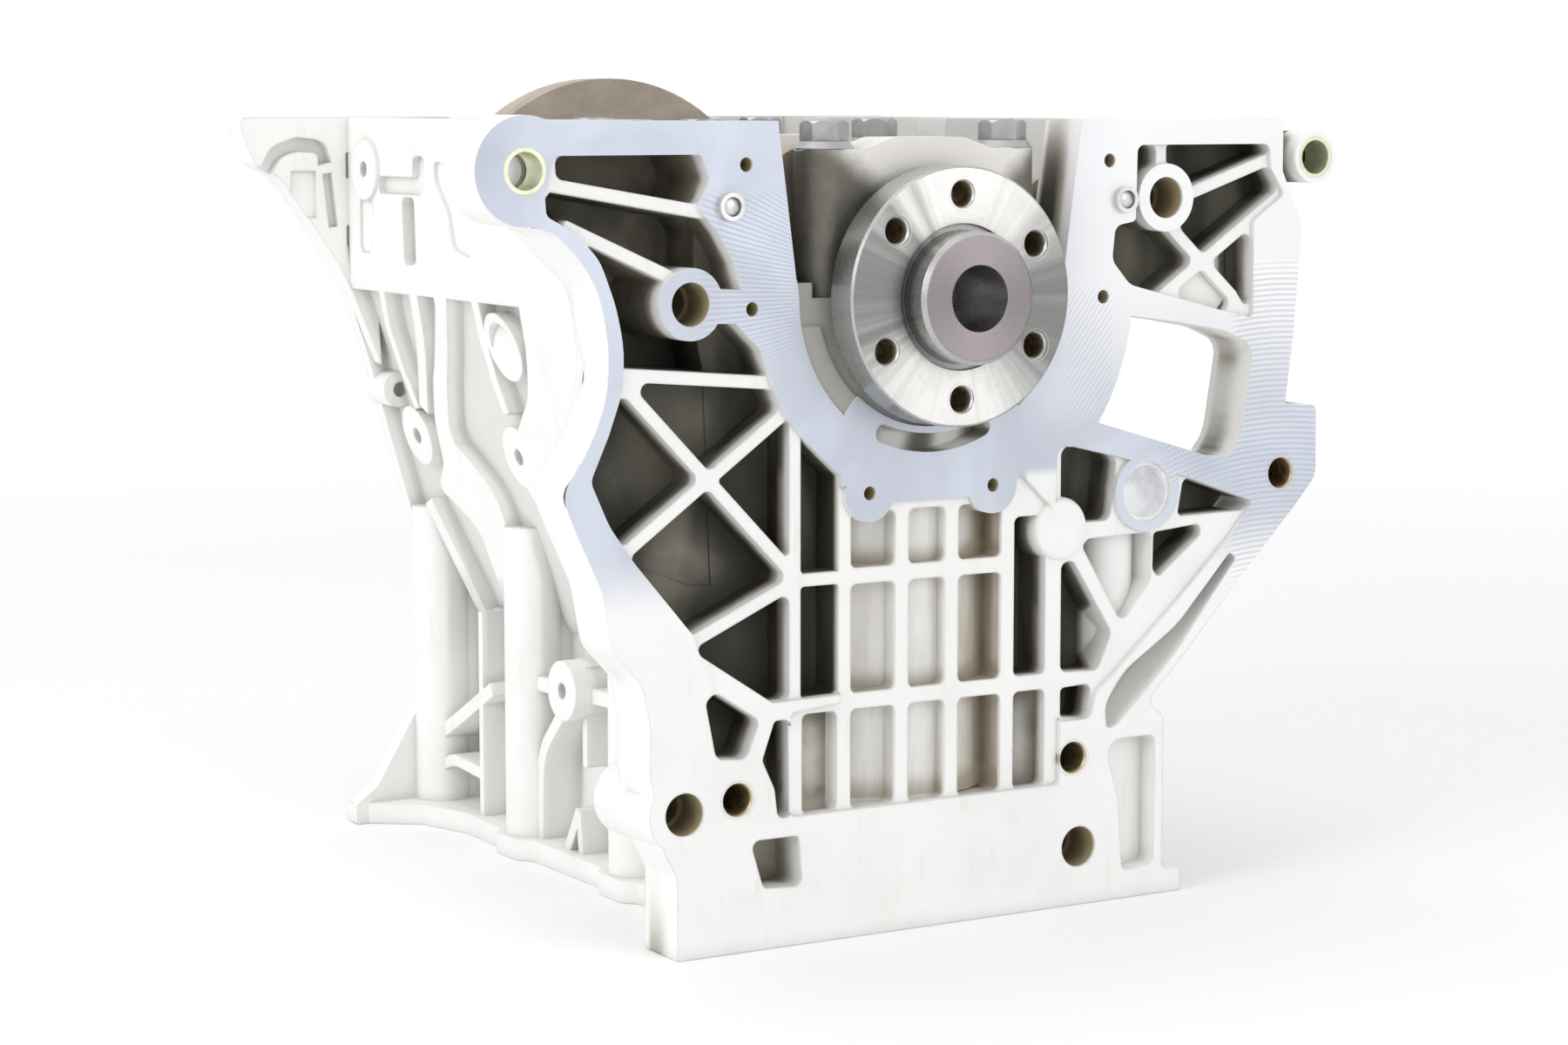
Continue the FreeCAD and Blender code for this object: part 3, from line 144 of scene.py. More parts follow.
# How far the paper lies below the part, in millimetres
FLOOR_DROP = 0.05


def colour(label, description, default):
    return bpy.props.FloatVectorProperty(
        name=label, description=description, subtype="COLOR", size=3, default=default)


def length(label, description, default, low):
    return bpy.props.FloatProperty(
        name=label, description=description, default=default, min=low, subtype="DISTANCE", unit="LENGTH")


def angle(label, description, degrees):
    return bpy.props.FloatProperty(
        name=label, description=description, default=math.radians(degrees), subtype="ANGLE", unit="ROTATION")


class CastingSettings(bpy.types.PropertyGroup):
    """Colours and grain of the aluminium casting."""
    skin: colour("Cast skin", "Colour of the shot-blasted outside", (0.90, 0.90, 0.885))
    # Painted shade on the walls that lie back between the outer ribs
    recess_shade: colour("Recess", "Colour of the walls between the outer ribs", (0.70, 0.70, 0.68))
    milled: colour("Milled face", "Colour of the machined faces", (0.545, 0.58, 0.66))
    mark: colour("Cutter marks", "Colour of the lines that the cutter left", (0.40, 0.43, 0.50))
    # Painted reflection of the room on the milled face
    glare: colour("Glare", "Colour of the milled face where it mirrors the room", (0.93, 0.93, 0.93))
    run: colour("Runs", "Colour of the faint runs down the cast skin", (0.50, 0.47, 0.40))
    # Painted shade of the pockets: this colour half way down, the next one at the bottom
    pocket_shade: colour("Stain", "Colour half way down a pocket", (0.37, 0.335, 0.27))
    pocket: colour("Pocket", "Colour at the bottom of the pockets", (0.066, 0.063, 0.048))
    floor: colour("Recess floor", "Colour of the small steps and crescents cut below the milled face",
                  (0.45, 0.44, 0.41))
    # Painted reflection in the oil slot, dark and bright
    slot_dark: colour("Slot, dark", "Darker colour in the oil slot", (0.20, 0.19, 0.17))
    slot_bright: colour("Slot, bright", "Brighter colour in the oil slot", (0.93, 0.92, 0.90))
    # Barrel film colour: partly a real brown film, partly painted shade
    soil_and_shade: colour("Soil", "Colour of the film on the barrels between the level ribs", (0.40, 0.35, 0.27))
    rust: colour("Drilled hole", "Colour of oil and swarf inside the drilled holes", (0.47, 0.39, 0.24))
    grain: length("Grain", "Size of the cast skin's grain", 1.1 * MM, 0.1 * MM)
    edge: length("Edge rounding", "Radius that cast edges appear to have", 1.3 * MM, 0.0)
    feed: length("Feed", "Spacing of the face mill's marks", 1.8 * MM, 0.1 * MM)


class CrankSettings(bpy.types.PropertyGroup):
    """Colours of the crankshaft, its caps and the small fittings."""
    turned: colour("Turned steel", "Colour of the turned and ground surfaces", (0.86, 0.85, 0.83))
    # Turning sheen is a painted reflection, the dark side of the rings' bow-tie
    sheen: colour("Turning sheen", "Darker colour that the turning rings show to the sides",
                  (0.24, 0.24, 0.235))
    forged: colour("Forged skin", "Colour of the forged webs", (0.37, 0.32, 0.27))
    spigot: colour("Spigot face", "Colour of the hardened spigot's face", (0.37, 0.33, 0.345))
    # Cap iron is the painted shade of the flanks, Cap shoulder the painted light on the tops
    cap: colour("Cap iron", "Colour of the main bearing caps", (0.185, 0.175, 0.15))
    shoulder: colour("Cap shoulder", "Colour of the caps where light falls on their tops",
                     (0.80, 0.78, 0.735))
    bolt: colour("Bolt steel", "Colour of the cap bolts", (0.50, 0.50, 0.51))
    shell: colour("Bearing metal", "Colour of the bearing shells", (0.62, 0.50, 0.40))
    sleeve: colour("Sleeve", "Colour of the plated lug sleeves", (0.84, 0.87, 0.62))
    plug: colour("Core plug", "Colour of the plated core plug", (0.96, 0.97, 0.99))
    dowel: colour("Dowel", "Colour of the seal carrier's dowels", (0.82, 0.82, 0.81))


class StageSettings(bpy.types.PropertyGroup):
    """Camera, lamps and floor."""
    azimuth: angle("Azimuth", "Turn of the camera about the vertical", 31.043)
    pitch: angle("Pitch", "How far the camera looks down", 6.913)
    eye: bpy.props.FloatVectorProperty(
        name="Camera place", description="Where the camera stands", subtype="TRANSLATION",
        size=3, default=(-0.70656, -1.21365, 0.30622))
    lens: bpy.props.FloatProperty(
        name="Lens", description="Focal length on a 36 mm sensor", default=80.8, min=1.0, unit="CAMERA")
    sky: bpy.props.FloatProperty(
        name="Sky", description="Strength of the even light from all round", default=0.78, min=0.0)
    floor_size: length("Floor", "Width of the floor", 14.0, 1.0)


class Link:
    """A node's output that takes part in arithmetic."""

    def __init__(self, finish, socket):
        self.finish = finish
        self.socket = socket

    def maths(self, operation, *operands):
        return self.finish.node("ShaderNodeMath", {"operation": operation}, dict(enumerate(operands)))

    def __add__(self, other):
        return self.maths("ADD", self, other)

    def __radd__(self, other):
        return self.maths("ADD", other, self)

    def __sub__(self, other):
        return self.maths("SUBTRACT", self, other)

    def __rsub__(self, other):
        return self.maths("SUBTRACT", other, self)

    def __mul__(self, other):
        return self.maths("MULTIPLY", self, other)

    def __rmul__(self, other):
        return self.maths("MULTIPLY", other, self)

    def __neg__(self):
        return self.maths("MULTIPLY", self, -1.0)

    def __abs__(self):
        return self.maths("ABSOLUTE", self)

    def sine(self):
        return self.maths("SINE", self)

    def cosine(self):
        return self.maths("COSINE", self)

    def root(self):
        return self.maths("SQRT", self.maths("MAXIMUM", self, 0.0))

    def angle_over(self, across):
        """Angle of a point that lies this far up and so far across."""
        return self.maths("ARCTAN2", self, across)

    def at_least(self, other):
        return self.maths("MAXIMUM", self, other)

    def at_most(self, other):
        return self.maths("MINIMUM", self, other)

    def near(self, value, width):
        """1 within width of a value, 0 elsewhere."""
        return self.maths("COMPARE", self, value, width)

    def rise(self, low, high):
        """0 below low, 1 above high and smooth between them; a low above high falls instead."""
        swap = low > high
        values = {"Value": self, "From Min": min(low, high), "From Max": max(low, high)}
        values.update({"To Min": 1.0 if swap else 0.0, "To Max": 0.0 if swap else 1.0})
        return self.finish.node("ShaderNodeMapRange", {"interpolation_type": "SMOOTHSTEP"}, values)

    def past(self, low, high):
        """The same rise between two lengths in millimetres."""
        return self.rise(low * MM, high * MM)

    def band(self, start, full, fade, end):
        """1 between two lengths in millimetres, with soft edges on both sides."""
        return self.past(start, full) * self.past(end, fade)


class Finish:
    """A material or a world made of nodes."""

    def __init__(self, owner):
        self.owner = bpy.data.materials.new(owner) if isinstance(owner, str) else owner
        self.owner.use_nodes = True
        self.tree = self.owner.node_tree
        self.tree.nodes.clear()
        coordinates = self.tree.nodes.new("ShaderNodeTexCoord")
        self.place = Link(self, coordinates.outputs["Object"])
        self.facing = Link(self, coordinates.outputs["Normal"])

    def node(self, kind, settings=None, inputs=None, output=0):
        """Any node: its settings first, then the values or links of its sockets."""
        made = self.tree.nodes.new(kind)
        for name, value in (settings or {}).items():
            setattr(made, name, value)
        for name, value in (inputs or {}).items():
            socket = made.inputs[name]
            if isinstance(value, Link):
                self.tree.links.new(value.socket, socket)
            else:
                socket.default_value = (*value, 1.0) if self.is_colour(socket, value) else value
        return Link(self, made.outputs[output])

    @staticmethod
    def is_colour(socket, value):
        return socket.type == "RGBA" and len(value) == 3

    def axes(self, vector):
        """The three parts of a vector."""
        split = self.node("ShaderNodeSeparateXYZ", None, {"Vector": vector})
        return [Link(self, output) for output in split.socket.node.outputs]

    def moved(self, turn=(0, 0, 0), scale=(1, 1, 1)):
        """Object coordinates turned and stretched for a pattern."""
        return self.node("ShaderNodeMapping", None, {"Vector": self.place, "Rotation": turn, "Scale": scale})

    def noise(self, size, detail=4.0, roughness=0.55, vector=None, distortion=0.0):
        """Cloudy noise whose features are about as large as size, in metres."""
        inputs = {"Vector": vector or self.place, "Scale": 1.0 / size, "Detail": detail,
                  "Roughness": roughness, "Distortion": distortion}
        return self.node("ShaderNodeTexNoise", None, inputs)

    def mix(self, amount, first, second):
        """Colour that goes from first to second."""
        return self.node("ShaderNodeMix", {"data_type": "RGBA"}, {0: amount, 6: first, 7: second}, 2)

    def mix_normals(self, amount, first, second):
        """Normal that goes from first to second."""
        return self.node("ShaderNodeMix", {"data_type": "VECTOR"}, {0: amount, 4: first, 5: second}, 1)

    def bump(self, height, distance, strength=1.0, normal=None):
        inputs = {"Height": height, "Distance": distance, "Strength": strength}
        if normal is not None:
            inputs["Normal"] = normal
        return self.node("ShaderNodeBump", None, inputs)

    def rounded_edges(self, radius):
        """Normal that rolls over sharp edges within a radius."""
        return self.node("ShaderNodeBevel", {"samples": 4}, {"Radius": radius})

    def enclosed(self, distance, samples=6):
        """1 in the open, 0 deep in a corner or a pocket."""
        return self.node("ShaderNodeAmbientOcclusion", {"samples": samples}, {"Distance": distance}, "AO")

    def light_path(self, kind):
        return self.node("ShaderNodeLightPath", None, None, kind)

    def finish(self, **sockets):
        """The Principled shader and the material's output."""
        names = {"colour": "Base Color", "roughness": "Roughness", "metallic": "Metallic", "normal": "Normal"}
        self.show(self.node("ShaderNodeBsdfPrincipled", None, {names[k]: v for k, v in sockets.items()}))
        return self.owner

    def show(self, shader, kind="Material"):
        output = self.tree.nodes.new("ShaderNodeOutput" + kind)
        self.tree.links.new(shader.socket, output.inputs["Surface"])


def tinted(base, factor, most=math.inf):
    """A colour made darker or lighter."""
    return [min(most, channel * factor) for channel in base]


def away(x, up, across=0.0, above=0.0):
    """How far a point lies from a place in a plane, in metres."""
    return ((x - across) * (x - across) + (up - above) * (up - above)).root()


def area(x, up, bands):
    """1 inside a band of x and a band of height."""
    return x.band(*bands[0]) * up.band(*bands[1])


def machined(normal_axis, place_axis, place, outward):
    """1 on a flat machined face that looks along one axis, 0 elsewhere."""
    facing = (normal_axis * outward).rise(0.9, 0.99)
    return place_axis.near(place, SLACK) * facing


def flywheel_face(x, y, up, ny):
    """1 on the milled face of the flywheel end, fading out where its cast skin starts."""
    rear = machined(ny, y, REAR_FACE, -1.0) * up.past(-140, -100)
    wedge = x.band(41, 43, 59, 61) * up.past(-65, -70)
    wedge = wedge.at_least(away(x, up, BOSS_PLACE[0] * MM, BOSS_PLACE[1] * MM).past(14, 13))
    tongue = up.past(-136, -140) * x.past(-64, -60)
    return rear * (1.0 - wedge) * (1.0 - tongue)


def wall_depth(f, side, up):
    """How far a point of the side walls lies inside the crankcase's full outside."""
    flare = f.node("ShaderNodeMapRange", {"interpolation_type": "LINEAR"}, {
        "Value": up, "From Min": -100 * MM, "From Max": -33 * MM, "To Min": 78.6 * MM, "To Max": 98 * MM})
    waist = f.node("ShaderNodeMapRange", {"interpolation_type": "LINEAR", "clamp": False}, {
        "Value": up, "From Min": -150 * MM, "From Max": -100 * MM, "To Min": 68 * MM, "To Max": 78.6 * MM})
    shoulder = (up + 33 * MM).at_least(0.0) * 0.36
    low = up.past(-100.5, -99.5)
    full = waist * (1.0 - low) + (flare + shoulder) * low
    return full.at_least(74 * MM).at_most(108 * MM) - side


def cutter_marks(settings, x, up):
    """Lines of the face mill, where they show: fanned on the left limb, level or crossed on the right."""
    wave = FULL_TURN / settings.feed
    fan = (up.angle_over(x) * round(wave * FAN_RADIUS * MM)).sine() * area(x, up, FAN_AREA)
    bow = (x - BOW_MIDDLE * MM) * (x - BOW_MIDDLE * MM) * 3.2
    level = ((up + bow) * (wave * 0.87)).sine()
    upright = level * x.past(136, 141) * up.past(12, 0)
    slant = ((up - x * 1.3) * (wave * 0.6)).sine() * area(x, up, SLANT_AREA)
    crossed = (level + ((up + x) * (wave * 0.83)).sine()) * area(x, up, CROSSED_AREA)
    return fan + upright * 0.8 + slant * 0.5 + crossed * 0.7


def pocket_painted_shade(f, x, up, deep):
    """Painted shade: 0 on bare metal to 1 at the bottom of the flywheel end's pockets."""
    # The barrels, a column and the strut get less painted shade, as light reaches them
    barrels = abs(x + 12 * MM).past(56, 26) * x.past(-41, -37)
    column = abs(x - 91 * MM).past(15, 10) * up.past(-90, -96)
    along_normal = (x - STRUT_POINT[0] * MM) * STRUT_NORMAL[0] + (up - STRUT_POINT[1] * MM) * STRUT_NORMAL[1]
    strut = along_normal.near(0.0, STRUT_HALF * MM) * x.past(77, 79)
    pale = (barrels + column + strut).at_most(1.0)
    start = 2.5 * MM + 13 * MM * pale - x * 0.2 * barrels
    outer_cell = x.band(-58, -57, -39.2, -38.2) * up.past(-149, -146)
    depth = (deep - start).past(0, 13).at_least((deep - 2.5 * MM).past(0, 5) * outer_cell)
    # Painted shade, darker where the pocket closes in
    closed = f.enclosed(34 * MM, 12).rise(1.0, 0.42)
    foot = up.past(-196, -176) * 0.65 + 0.35
    hollow = (x.past(-59, -62) * up.past(-112, -106)).at_least(abs(x).past(62, 59))
    inside = deep.past(60, 42) * hollow + deep.past(23, 19) * (1.0 - hollow)
    lug = MOUNTS["lug_sleeve_bore_left"]["pos_m"]
    inside = inside * away(x, up, lug[0], lug[2] - CRANK_AXIS.z).past(7, 9)
    return (depth * closed * foot * inside * 1.2).at_most(1.0)


def cell_soil_and_shade(f, x, up, deep):
    """Light brown film on the barrels between the level ribs, drawn down in streaks, with painted shade
    thickest at their feet and darker towards the right.
    """
    cells = x.band(*CELL_WIDTH) * deep.band(*CELL_DEPTH) * up.past(-189, -186)
    streak = f.noise(9 * MM, 3.0, 0.6, f.moved(scale=(1.0, 1.0, 0.16)))
    # The rise towards the right is painted shade on barrel sides turned from the light
    film = 0.12 + 0.28 * streak.rise(0.35, 0.75) + x.past(8, 28) * 0.5
    # Painted shade gathered at the foot of each cell, just above its rib
    for rib in LEVEL_RIBS:
        film = film + (up - rib * MM).band(0.5, 1.5, 2, 11) * 0.55
    return (cells * film).at_most(0.95)


def drilled_holes():
    """Place in x and above the crankshaft, and radius, of each hole in the flywheel end, in metres."""
    holes = []
    for name, mount in MOUNTS.items():
        x, y, z = mount["pos_m"]
        sizes = mount.get("dims") or {}
        if name.startswith(("bellhousing_bolt", "bellhousing_dowel")):
            holes.append((x, z - CRANK_AXIS.z, sizes["r_mm"] * MM))
        if name.startswith("seal_carrier"):
            half = sizes["spacing_x_mm"] * MM / 2
            holes += [(side * half, z - CRANK_AXIS.z, sizes["hole_r_mm"] * MM) for side in (-1, 1)]
    return holes


def hole_mask(x, up, deep):
    """1 in and just round each drilled hole of the flywheel end, below its face."""
    masks = [away(x, up, across, above).rise(radius + 0.7 * MM, radius + 0.3 * MM)
             for across, above, radius in drilled_holes()]
    inside = masks[0]
    for mask in masks[1:]:
        inside = inside.at_least(mask)
    return inside * deep.band(*HOLE_DEPTH)


def outer_skin(f, settings, x, up, deep, cloud, patch):
    """Cast skin with painted shade between the outer ribs and in its corners, and faint runs."""
    recess_shade = wall_depth(f, abs(x), up).past(2.5, 5.5) * deep.past(20, 30)
    recess_shade = recess_shade * (0.35 + 0.65 * up.past(-172, -150))
    # Painted shade in the corners
    corner = f.enclosed(7 * MM).rise(0.92, 0.4)
    run = f.noise(7 * MM, 4.0, 0.6, f.moved(scale=(1.0, 1.0, 0.22)))
    skin = f.mix(cloud.rise(0.35, 0.8) * 0.4, settings.skin, tinted(settings.skin, 0.86))
    skin = f.mix(recess_shade * (0.8 + 0.4 * (patch - 0.5)), skin, settings.recess_shade)
    skin = f.mix(corner * 0.34, skin, tinted(settings.recess_shade, 0.6))
    return f.mix(run.rise(0.58, 0.85) * 0.3, skin, settings.run)


def pocket_skin(f, settings, skin, x, up, deep, cloud, patch):
    """Painted shade and painted highlight sweeps in the flywheel end's pockets, and the barrels' brown film
    with its painted shade, laid over the skin.
    """
    pocket_shade = pocket_painted_shade(f, x, up, deep) * (0.85 + 0.3 * patch)
    brown = f.mix(patch.rise(0.42, 0.62), settings.pocket_shade, tinted(settings.pocket_shade, 0.5))
    skin = f.mix(pocket_shade.rise(0.0, 0.5), skin, brown)
    upper_left = x.past(-60, -76) * up.past(-26, 10) * (0.25 + 0.5 * cloud.rise(0.35, 0.65))
    # Painted highlight sweeps across the pocket bottoms
    sweep = f.noise(34 * MM, 2.0, 0.5, f.moved(turn=(0, 0.75, 0), scale=(1.0, 1.0, 0.3)), 0.6)
    bottom = f.mix(sweep.rise(0.40, 0.68), tinted(settings.pocket, 0.5), tinted(settings.pocket, 2.3))
    skin = f.mix(pocket_shade.rise(0.42, 1.0) * (1.0 - upper_left), skin, bottom)
    return f.mix(cell_soil_and_shade(f, x, up, deep), skin, settings.soil_and_shade)


def cut_skin(f, settings, skin, x, up, deep, ny):
    """Steps, oil slot and drilled holes cut below the milled face, laid over the skin; the slot carries
    painted reflection and the holes painted shade further in.
    """
    reach = away(x, up)
    step = (-ny).rise(0.9, 0.98) * deep.band(*STEP_DEPTH) * reach.past(69, 67)
    skin = f.mix(step, skin, settings.floor)
    slot = up.past(-49, -51) * reach.band(*SLOT_RING) * deep.past(0.4, 0.9) * abs(x).past(29, 27)
    # Painted highlights and shade sweeping along the slot
    sheen = (x * (FULL_TURN / (SLOT_WAVE * MM)) + 1.0 + reach * 60.0).sine().rise(-1.0, 0.8)
    skin = f.mix(slot, skin, f.mix(sheen, settings.slot_dark, settings.slot_bright))
    # Darker further into the holes: painted shade over the oil colour
    rust = f.mix(deep.past(2, 14), settings.rust, tinted(settings.rust, 0.5))
    return f.mix(hole_mask(x, up, deep), skin, rust)


def milled_skin(f, settings, x, up, patch, marks):
    """Milled metal with painted shade on the left lug, a painted reflection where it mirrors the room, and
    lines of the cutter.
    """
    bright = f.mix(patch.rise(0.3, 0.7), settings.milled, tinted(settings.milled, 1.2, 1.0))
    # Painted shade on the left lug
    lug = x.past(-160, -180) * up.past(10, 40)
    bright = f.mix(lug * 0.45, bright, settings.mark)
    # Painted reflection of the room, pale over the upper right and the lower face
    glare = (x.past(20, 90) * up.past(-70, 10) + up.past(-84, -112)).at_most(1.0)
    bright = f.mix(glare, bright, settings.glare)
    return f.mix((-marks).rise(-0.4, 1.0) * 0.5, bright, settings.mark)


def cast_aluminium(settings):
    """Pale cast skin with milled faces and stained pockets."""
    f = Finish("cast_aluminium")
    x, y, z = f.axes(f.place)
    ny, nz = f.axes(f.facing)[1:]
    up = z - CRANK_AXIS.z
    deep = y - REAR_FACE
    fine = f.noise(settings.grain)
    cloud = f.noise(26 * MM, 5.0, 0.6)
    patch = f.noise(60 * MM, 3.0, 0.5, distortion=1.2)
    rear = flywheel_face(x, y, up, ny)
    others = machined(nz, z, DECK_FACE, -1.0) + machined(nz, z, RAIL_FACE, 1.0)
    others = others + machined(ny, y, FRONT_FACE, 1.0)
    milled = (rear + others).at_most(1.0)
    marks = cutter_marks(settings, x, up) * rear + (y * (FULL_TURN / (DECK_PITCH * MM))).sine() * others * 0.5
    skin = outer_skin(f, settings, x, up, deep, cloud, patch)
    skin = pocket_skin(f, settings, skin, x, up, deep, cloud, patch)
    skin = cut_skin(f, settings, skin, x, up, deep, ny)
    cast_bump = f.bump(fine * 0.7 + cloud * 0.3, 0.3 * MM, 0.55, f.rounded_edges(settings.edge))
    milled_bump = f.bump(marks, 0.03 * MM, 0.6)
    return f.finish(
        colour=f.mix(milled, skin, milled_skin(f, settings, x, up, patch, marks)),
        roughness=0.68 - 0.30 * milled + 0.12 * (fine - 0.5),
        metallic=0.12 + 0.38 * milled,
        normal=f.mix_normals(milled, cast_bump, milled_bump))


def turned_steel(f, settings, turn, cloud, sides, end_face, flange, spigot_face):
    """Turned metal with a painted reflection of its rings that darkens to the sides and in streaks, a darker
    rim, a duller spigot, and painted shade in the corners.
    """
    # Painted reflection: streaks round the end faces
    spokes = f.node("ShaderNodeTexNoise", {"noise_dimensions": "1D"},
                    {"W": turn * 2.2, "Scale": 3.0, "Detail": 3.0})
    dim = (sides * 0.95 + (spokes - 0.5) * 0.7) * end_face
    # Painted darker reflection on the flange's rim
    rim = (1.0 - end_face) * flange * 0.55
    steel = f.mix((dim + rim).rise(0.0, 1.0), settings.turned, settings.sheen)
    steel = f.mix(cloud.rise(0.4, 0.8) * 0.2, steel, settings.sheen)
    # The spigot's face also gets a painted darker reflection to the sides
    steel = f.mix(spigot_face, steel, f.mix(sides * 0.6, settings.spigot, tinted(settings.spigot, 0.6)))
    # Painted shade in the corners
    corner = f.enclosed(14 * MM).rise(0.85, 0.3)
    return f.mix(corner * 0.8, steel, tinted(settings.turned, 0.12))


def crank_steel(settings):
    """Turned flange and journals, with forged skin on the webs."""
    f = Finish("crank_steel")
    x, y, z = f.axes(f.place)
    ny = f.axes(f.facing)[1]
    up = z - CRANK_AXIS.z
    reach = away(x, up)
    turn = up.angle_over(x)
    fine = f.noise(0.9 * MM)
    cloud = f.noise(14 * MM, 5.0, 0.65)
    flange = (y - REAR_FACE).past(*FLANGE_EDGE)
    turned = (flange + reach.past(*JOURNAL_EDGE)).at_most(1.0)
    end_face = abs(ny).rise(0.8, 0.95)
    rings = (reach * (FULL_TURN / (RING_PITCH * MM))).sine()
    passes = (y * (FULL_TURN / (PASS_PITCH * MM))).sine()
    marks = rings * end_face + passes * (1.0 - end_face)
    # Where the turned rings' painted reflection darkens, to the sides of the axis
    sides = (1.0 + (turn * 2.0 + 0.35).cosine()) * 0.5
    streaks = f.noise(16 * MM, 2.0, 0.5, f.moved(turn=(0, 0.5, 0), scale=(0.3, 1.0, 1.0)))
    forged = f.mix(cloud.rise(0.3, 0.75), settings.forged, tinted(settings.forged, 1.2))
    forged = f.mix(streaks.rise(0.46, 0.68) * 0.45, forged, tinted(settings.forged, 1.7))
    steel = turned_steel(f, settings, turn, cloud, sides, end_face, flange, y.near(SPIGOT_FACE, 0.3 * MM))
    edges = f.rounded_edges(0.6 * MM)
    rough_bump = f.bump(fine * 0.6 + cloud * 0.4, 0.5 * MM, 0.7, edges)
    fine_bump = f.bump(marks, 0.015 * MM, 0.5, edges)
    return f.finish(
        colour=f.mix(turned, forged, steel),
        roughness=0.62 - 0.34 * turned + 0.1 * (fine - 0.5),
        metallic=0.35 + 0.6 * turned,
        normal=f.mix_normals(turned, rough_bump, fine_bump))


def plain_metal(name, base, roughness=0.4, metallic=0.9, soil_and_shade=0.75):
    """Metal with an even colour, broken up by cloudy tone, grain, and painted shade in its corners."""
    f = Finish(name)
    fine = f.noise(1.0 * MM)
    cloud = f.noise(12 * MM, 5.0, 0.6)
    # Painted shade that darkens the corners, scaled by the last argument
    corner = f.enclosed(9 * MM).rise(0.9, 0.35)
    skin = f.mix(cloud.rise(0.35, 0.75), base, tinted(base, 0.72))
    return f.finish(
        colour=f.mix(corner * soil_and_shade, skin, tinted(base, 0.2)),
        roughness=roughness + 0.15 * (cloud - 0.5),
        metallic=metallic,
        normal=f.bump(fine * 0.7 + cloud * 0.3, 0.15 * MM, 0.6, f.rounded_edges(0.4 * MM)))


def cap_iron(settings):
    """Main bearing cap: dark cast skin on the flanks as painted shade, paler and smoother over the shoulders
    as painted light, and painted shade in the corners.
    """
    f = Finish("cap_iron")
    x, y, z = f.axes(f.place)
    nz = f.axes(f.facing)[2]
    fine = f.noise(1.2 * MM)
    cloud = f.noise(13 * MM, 5.0, 0.6)
    height = z - CRANK_AXIS.z - abs(x - 4 * MM) * 0.75 + cloud * 9 * MM
    # Painted light on the tops and on faces that look up
    pale = height.past(18, 32).at_least(nz.rise(0.5, 0.9))
    # Painted shade in the corners
    corner = f.enclosed(9 * MM).rise(0.9, 0.35)
    skin = f.mix(cloud.rise(0.35, 0.75), settings.cap, tinted(settings.cap, 0.75))
    skin = f.mix(pale, skin, settings.shoulder)
    return f.finish(
        colour=f.mix(corner * 0.6, skin, tinted(settings.cap, 0.25)),
        roughness=0.55 + 0.15 * (cloud - 0.5),
        metallic=0.6 - 0.3 * pale,
        normal=f.bump(fine * 0.7 + cloud * 0.3, 0.45 * MM, 0.6, f.rounded_edges(1.0 * MM)))


def honed_iron():
    """Liner bore with crossed honing lines."""
    f = Finish("honed_iron")
    x, y, z = f.axes(f.place)
    turn = x.angle_over(y) * 38
    cross = ((turn + z * 1000.0) * 4.0).sine() * ((turn - z * 1000.0) * 4.0).sine()
    return f.finish(
        colour=f.mix(cross * 0.25 + 0.4, (0.36, 0.36, 0.37), (0.52, 0.52, 0.53)),
        roughness=0.3 + 0.15 * f.noise(12 * MM),
        metallic=0.9,
        normal=f.bump(cross, 0.01 * MM, 0.4))


def thread_metal(name, face, base):
    """Bright at the mouth of a tapped hole and brown further in."""
    f = Finish(name)
    inner = (f.axes(f.place)[1] - face).past(0.3, 4)
    brown = f.mix(f.noise(3 * MM).rise(0.35, 0.65), (0.34, 0.25, 0.13), (0.17, 0.12, 0.06))
    return f.finish(
        colour=f.mix(inner, tinted(base, 1.1, 0.9), brown),
        roughness=0.35 + 0.2 * inner,
        metallic=0.75,
        normal=f.bump(f.noise(0.5 * MM), 0.05 * MM))


def dress(nodes, material):
    """One material for each of the nodes."""
    for name in nodes:
        mesh = frame["nodes"][name].data
        mesh.materials.clear()
        mesh.materials.append(material)


def nodes_called(*starts):
    return sorted(name for name in frame["nodes"] if name.startswith(starts))


def piece(name, shape, material, body, smooth=True):
    """Object from a bmesh, riding on a body."""
    bmesh.ops.remove_doubles(shape, verts=shape.verts, dist=0.002 * MM)
    bmesh.ops.recalc_face_normals(shape, faces=shape.faces)
    mesh = bpy.data.meshes.new(name)
    shape.to_mesh(mesh)
    shape.free()
    for face in mesh.polygons:
        face.use_smooth = smooth
    mesh.materials.append(material)
    made = bpy.data.objects.new(name, mesh)
    bpy.context.scene.collection.objects.link(made)
    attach(made, body)
    return made


def at_rear(x, up, deep=0.0):
    """Point of the flywheel end, from its x, height and depth in millimetres."""
    return x * MM, REAR_FACE + deep * MM, CRANK_AXIS.z + up * MM


def strand(shape, points):
    """A run of edges through points."""
    verts = [shape.verts.new(point) for point in points]
    return [shape.edges.new(pair) for pair in zip(verts, verts[1:])]


def quads(shape, near, far):
    """Faces between two rows of corners."""
    for corners in zip(near, near[1:], far[1:], far):
        shape.faces.new(corners)


def turned_ring(shape, centre, profile, steps):
    """Profile of radius and depth in millimetres, turned about an axis that runs along the crankshaft."""
    x, y, z = centre
    rows = []
    for step in range(steps):
        across, above = math.cos(FULL_TURN * step / steps) * MM, math.sin(FULL_TURN * step / steps) * MM
        rows.append([shape.verts.new((x + radius * across, y + depth * MM, z + radius * above))
                     for radius, depth in profile])
    for near, far in zip(rows, rows[1:] + rows[:1]):
        quads(shape, near, far)


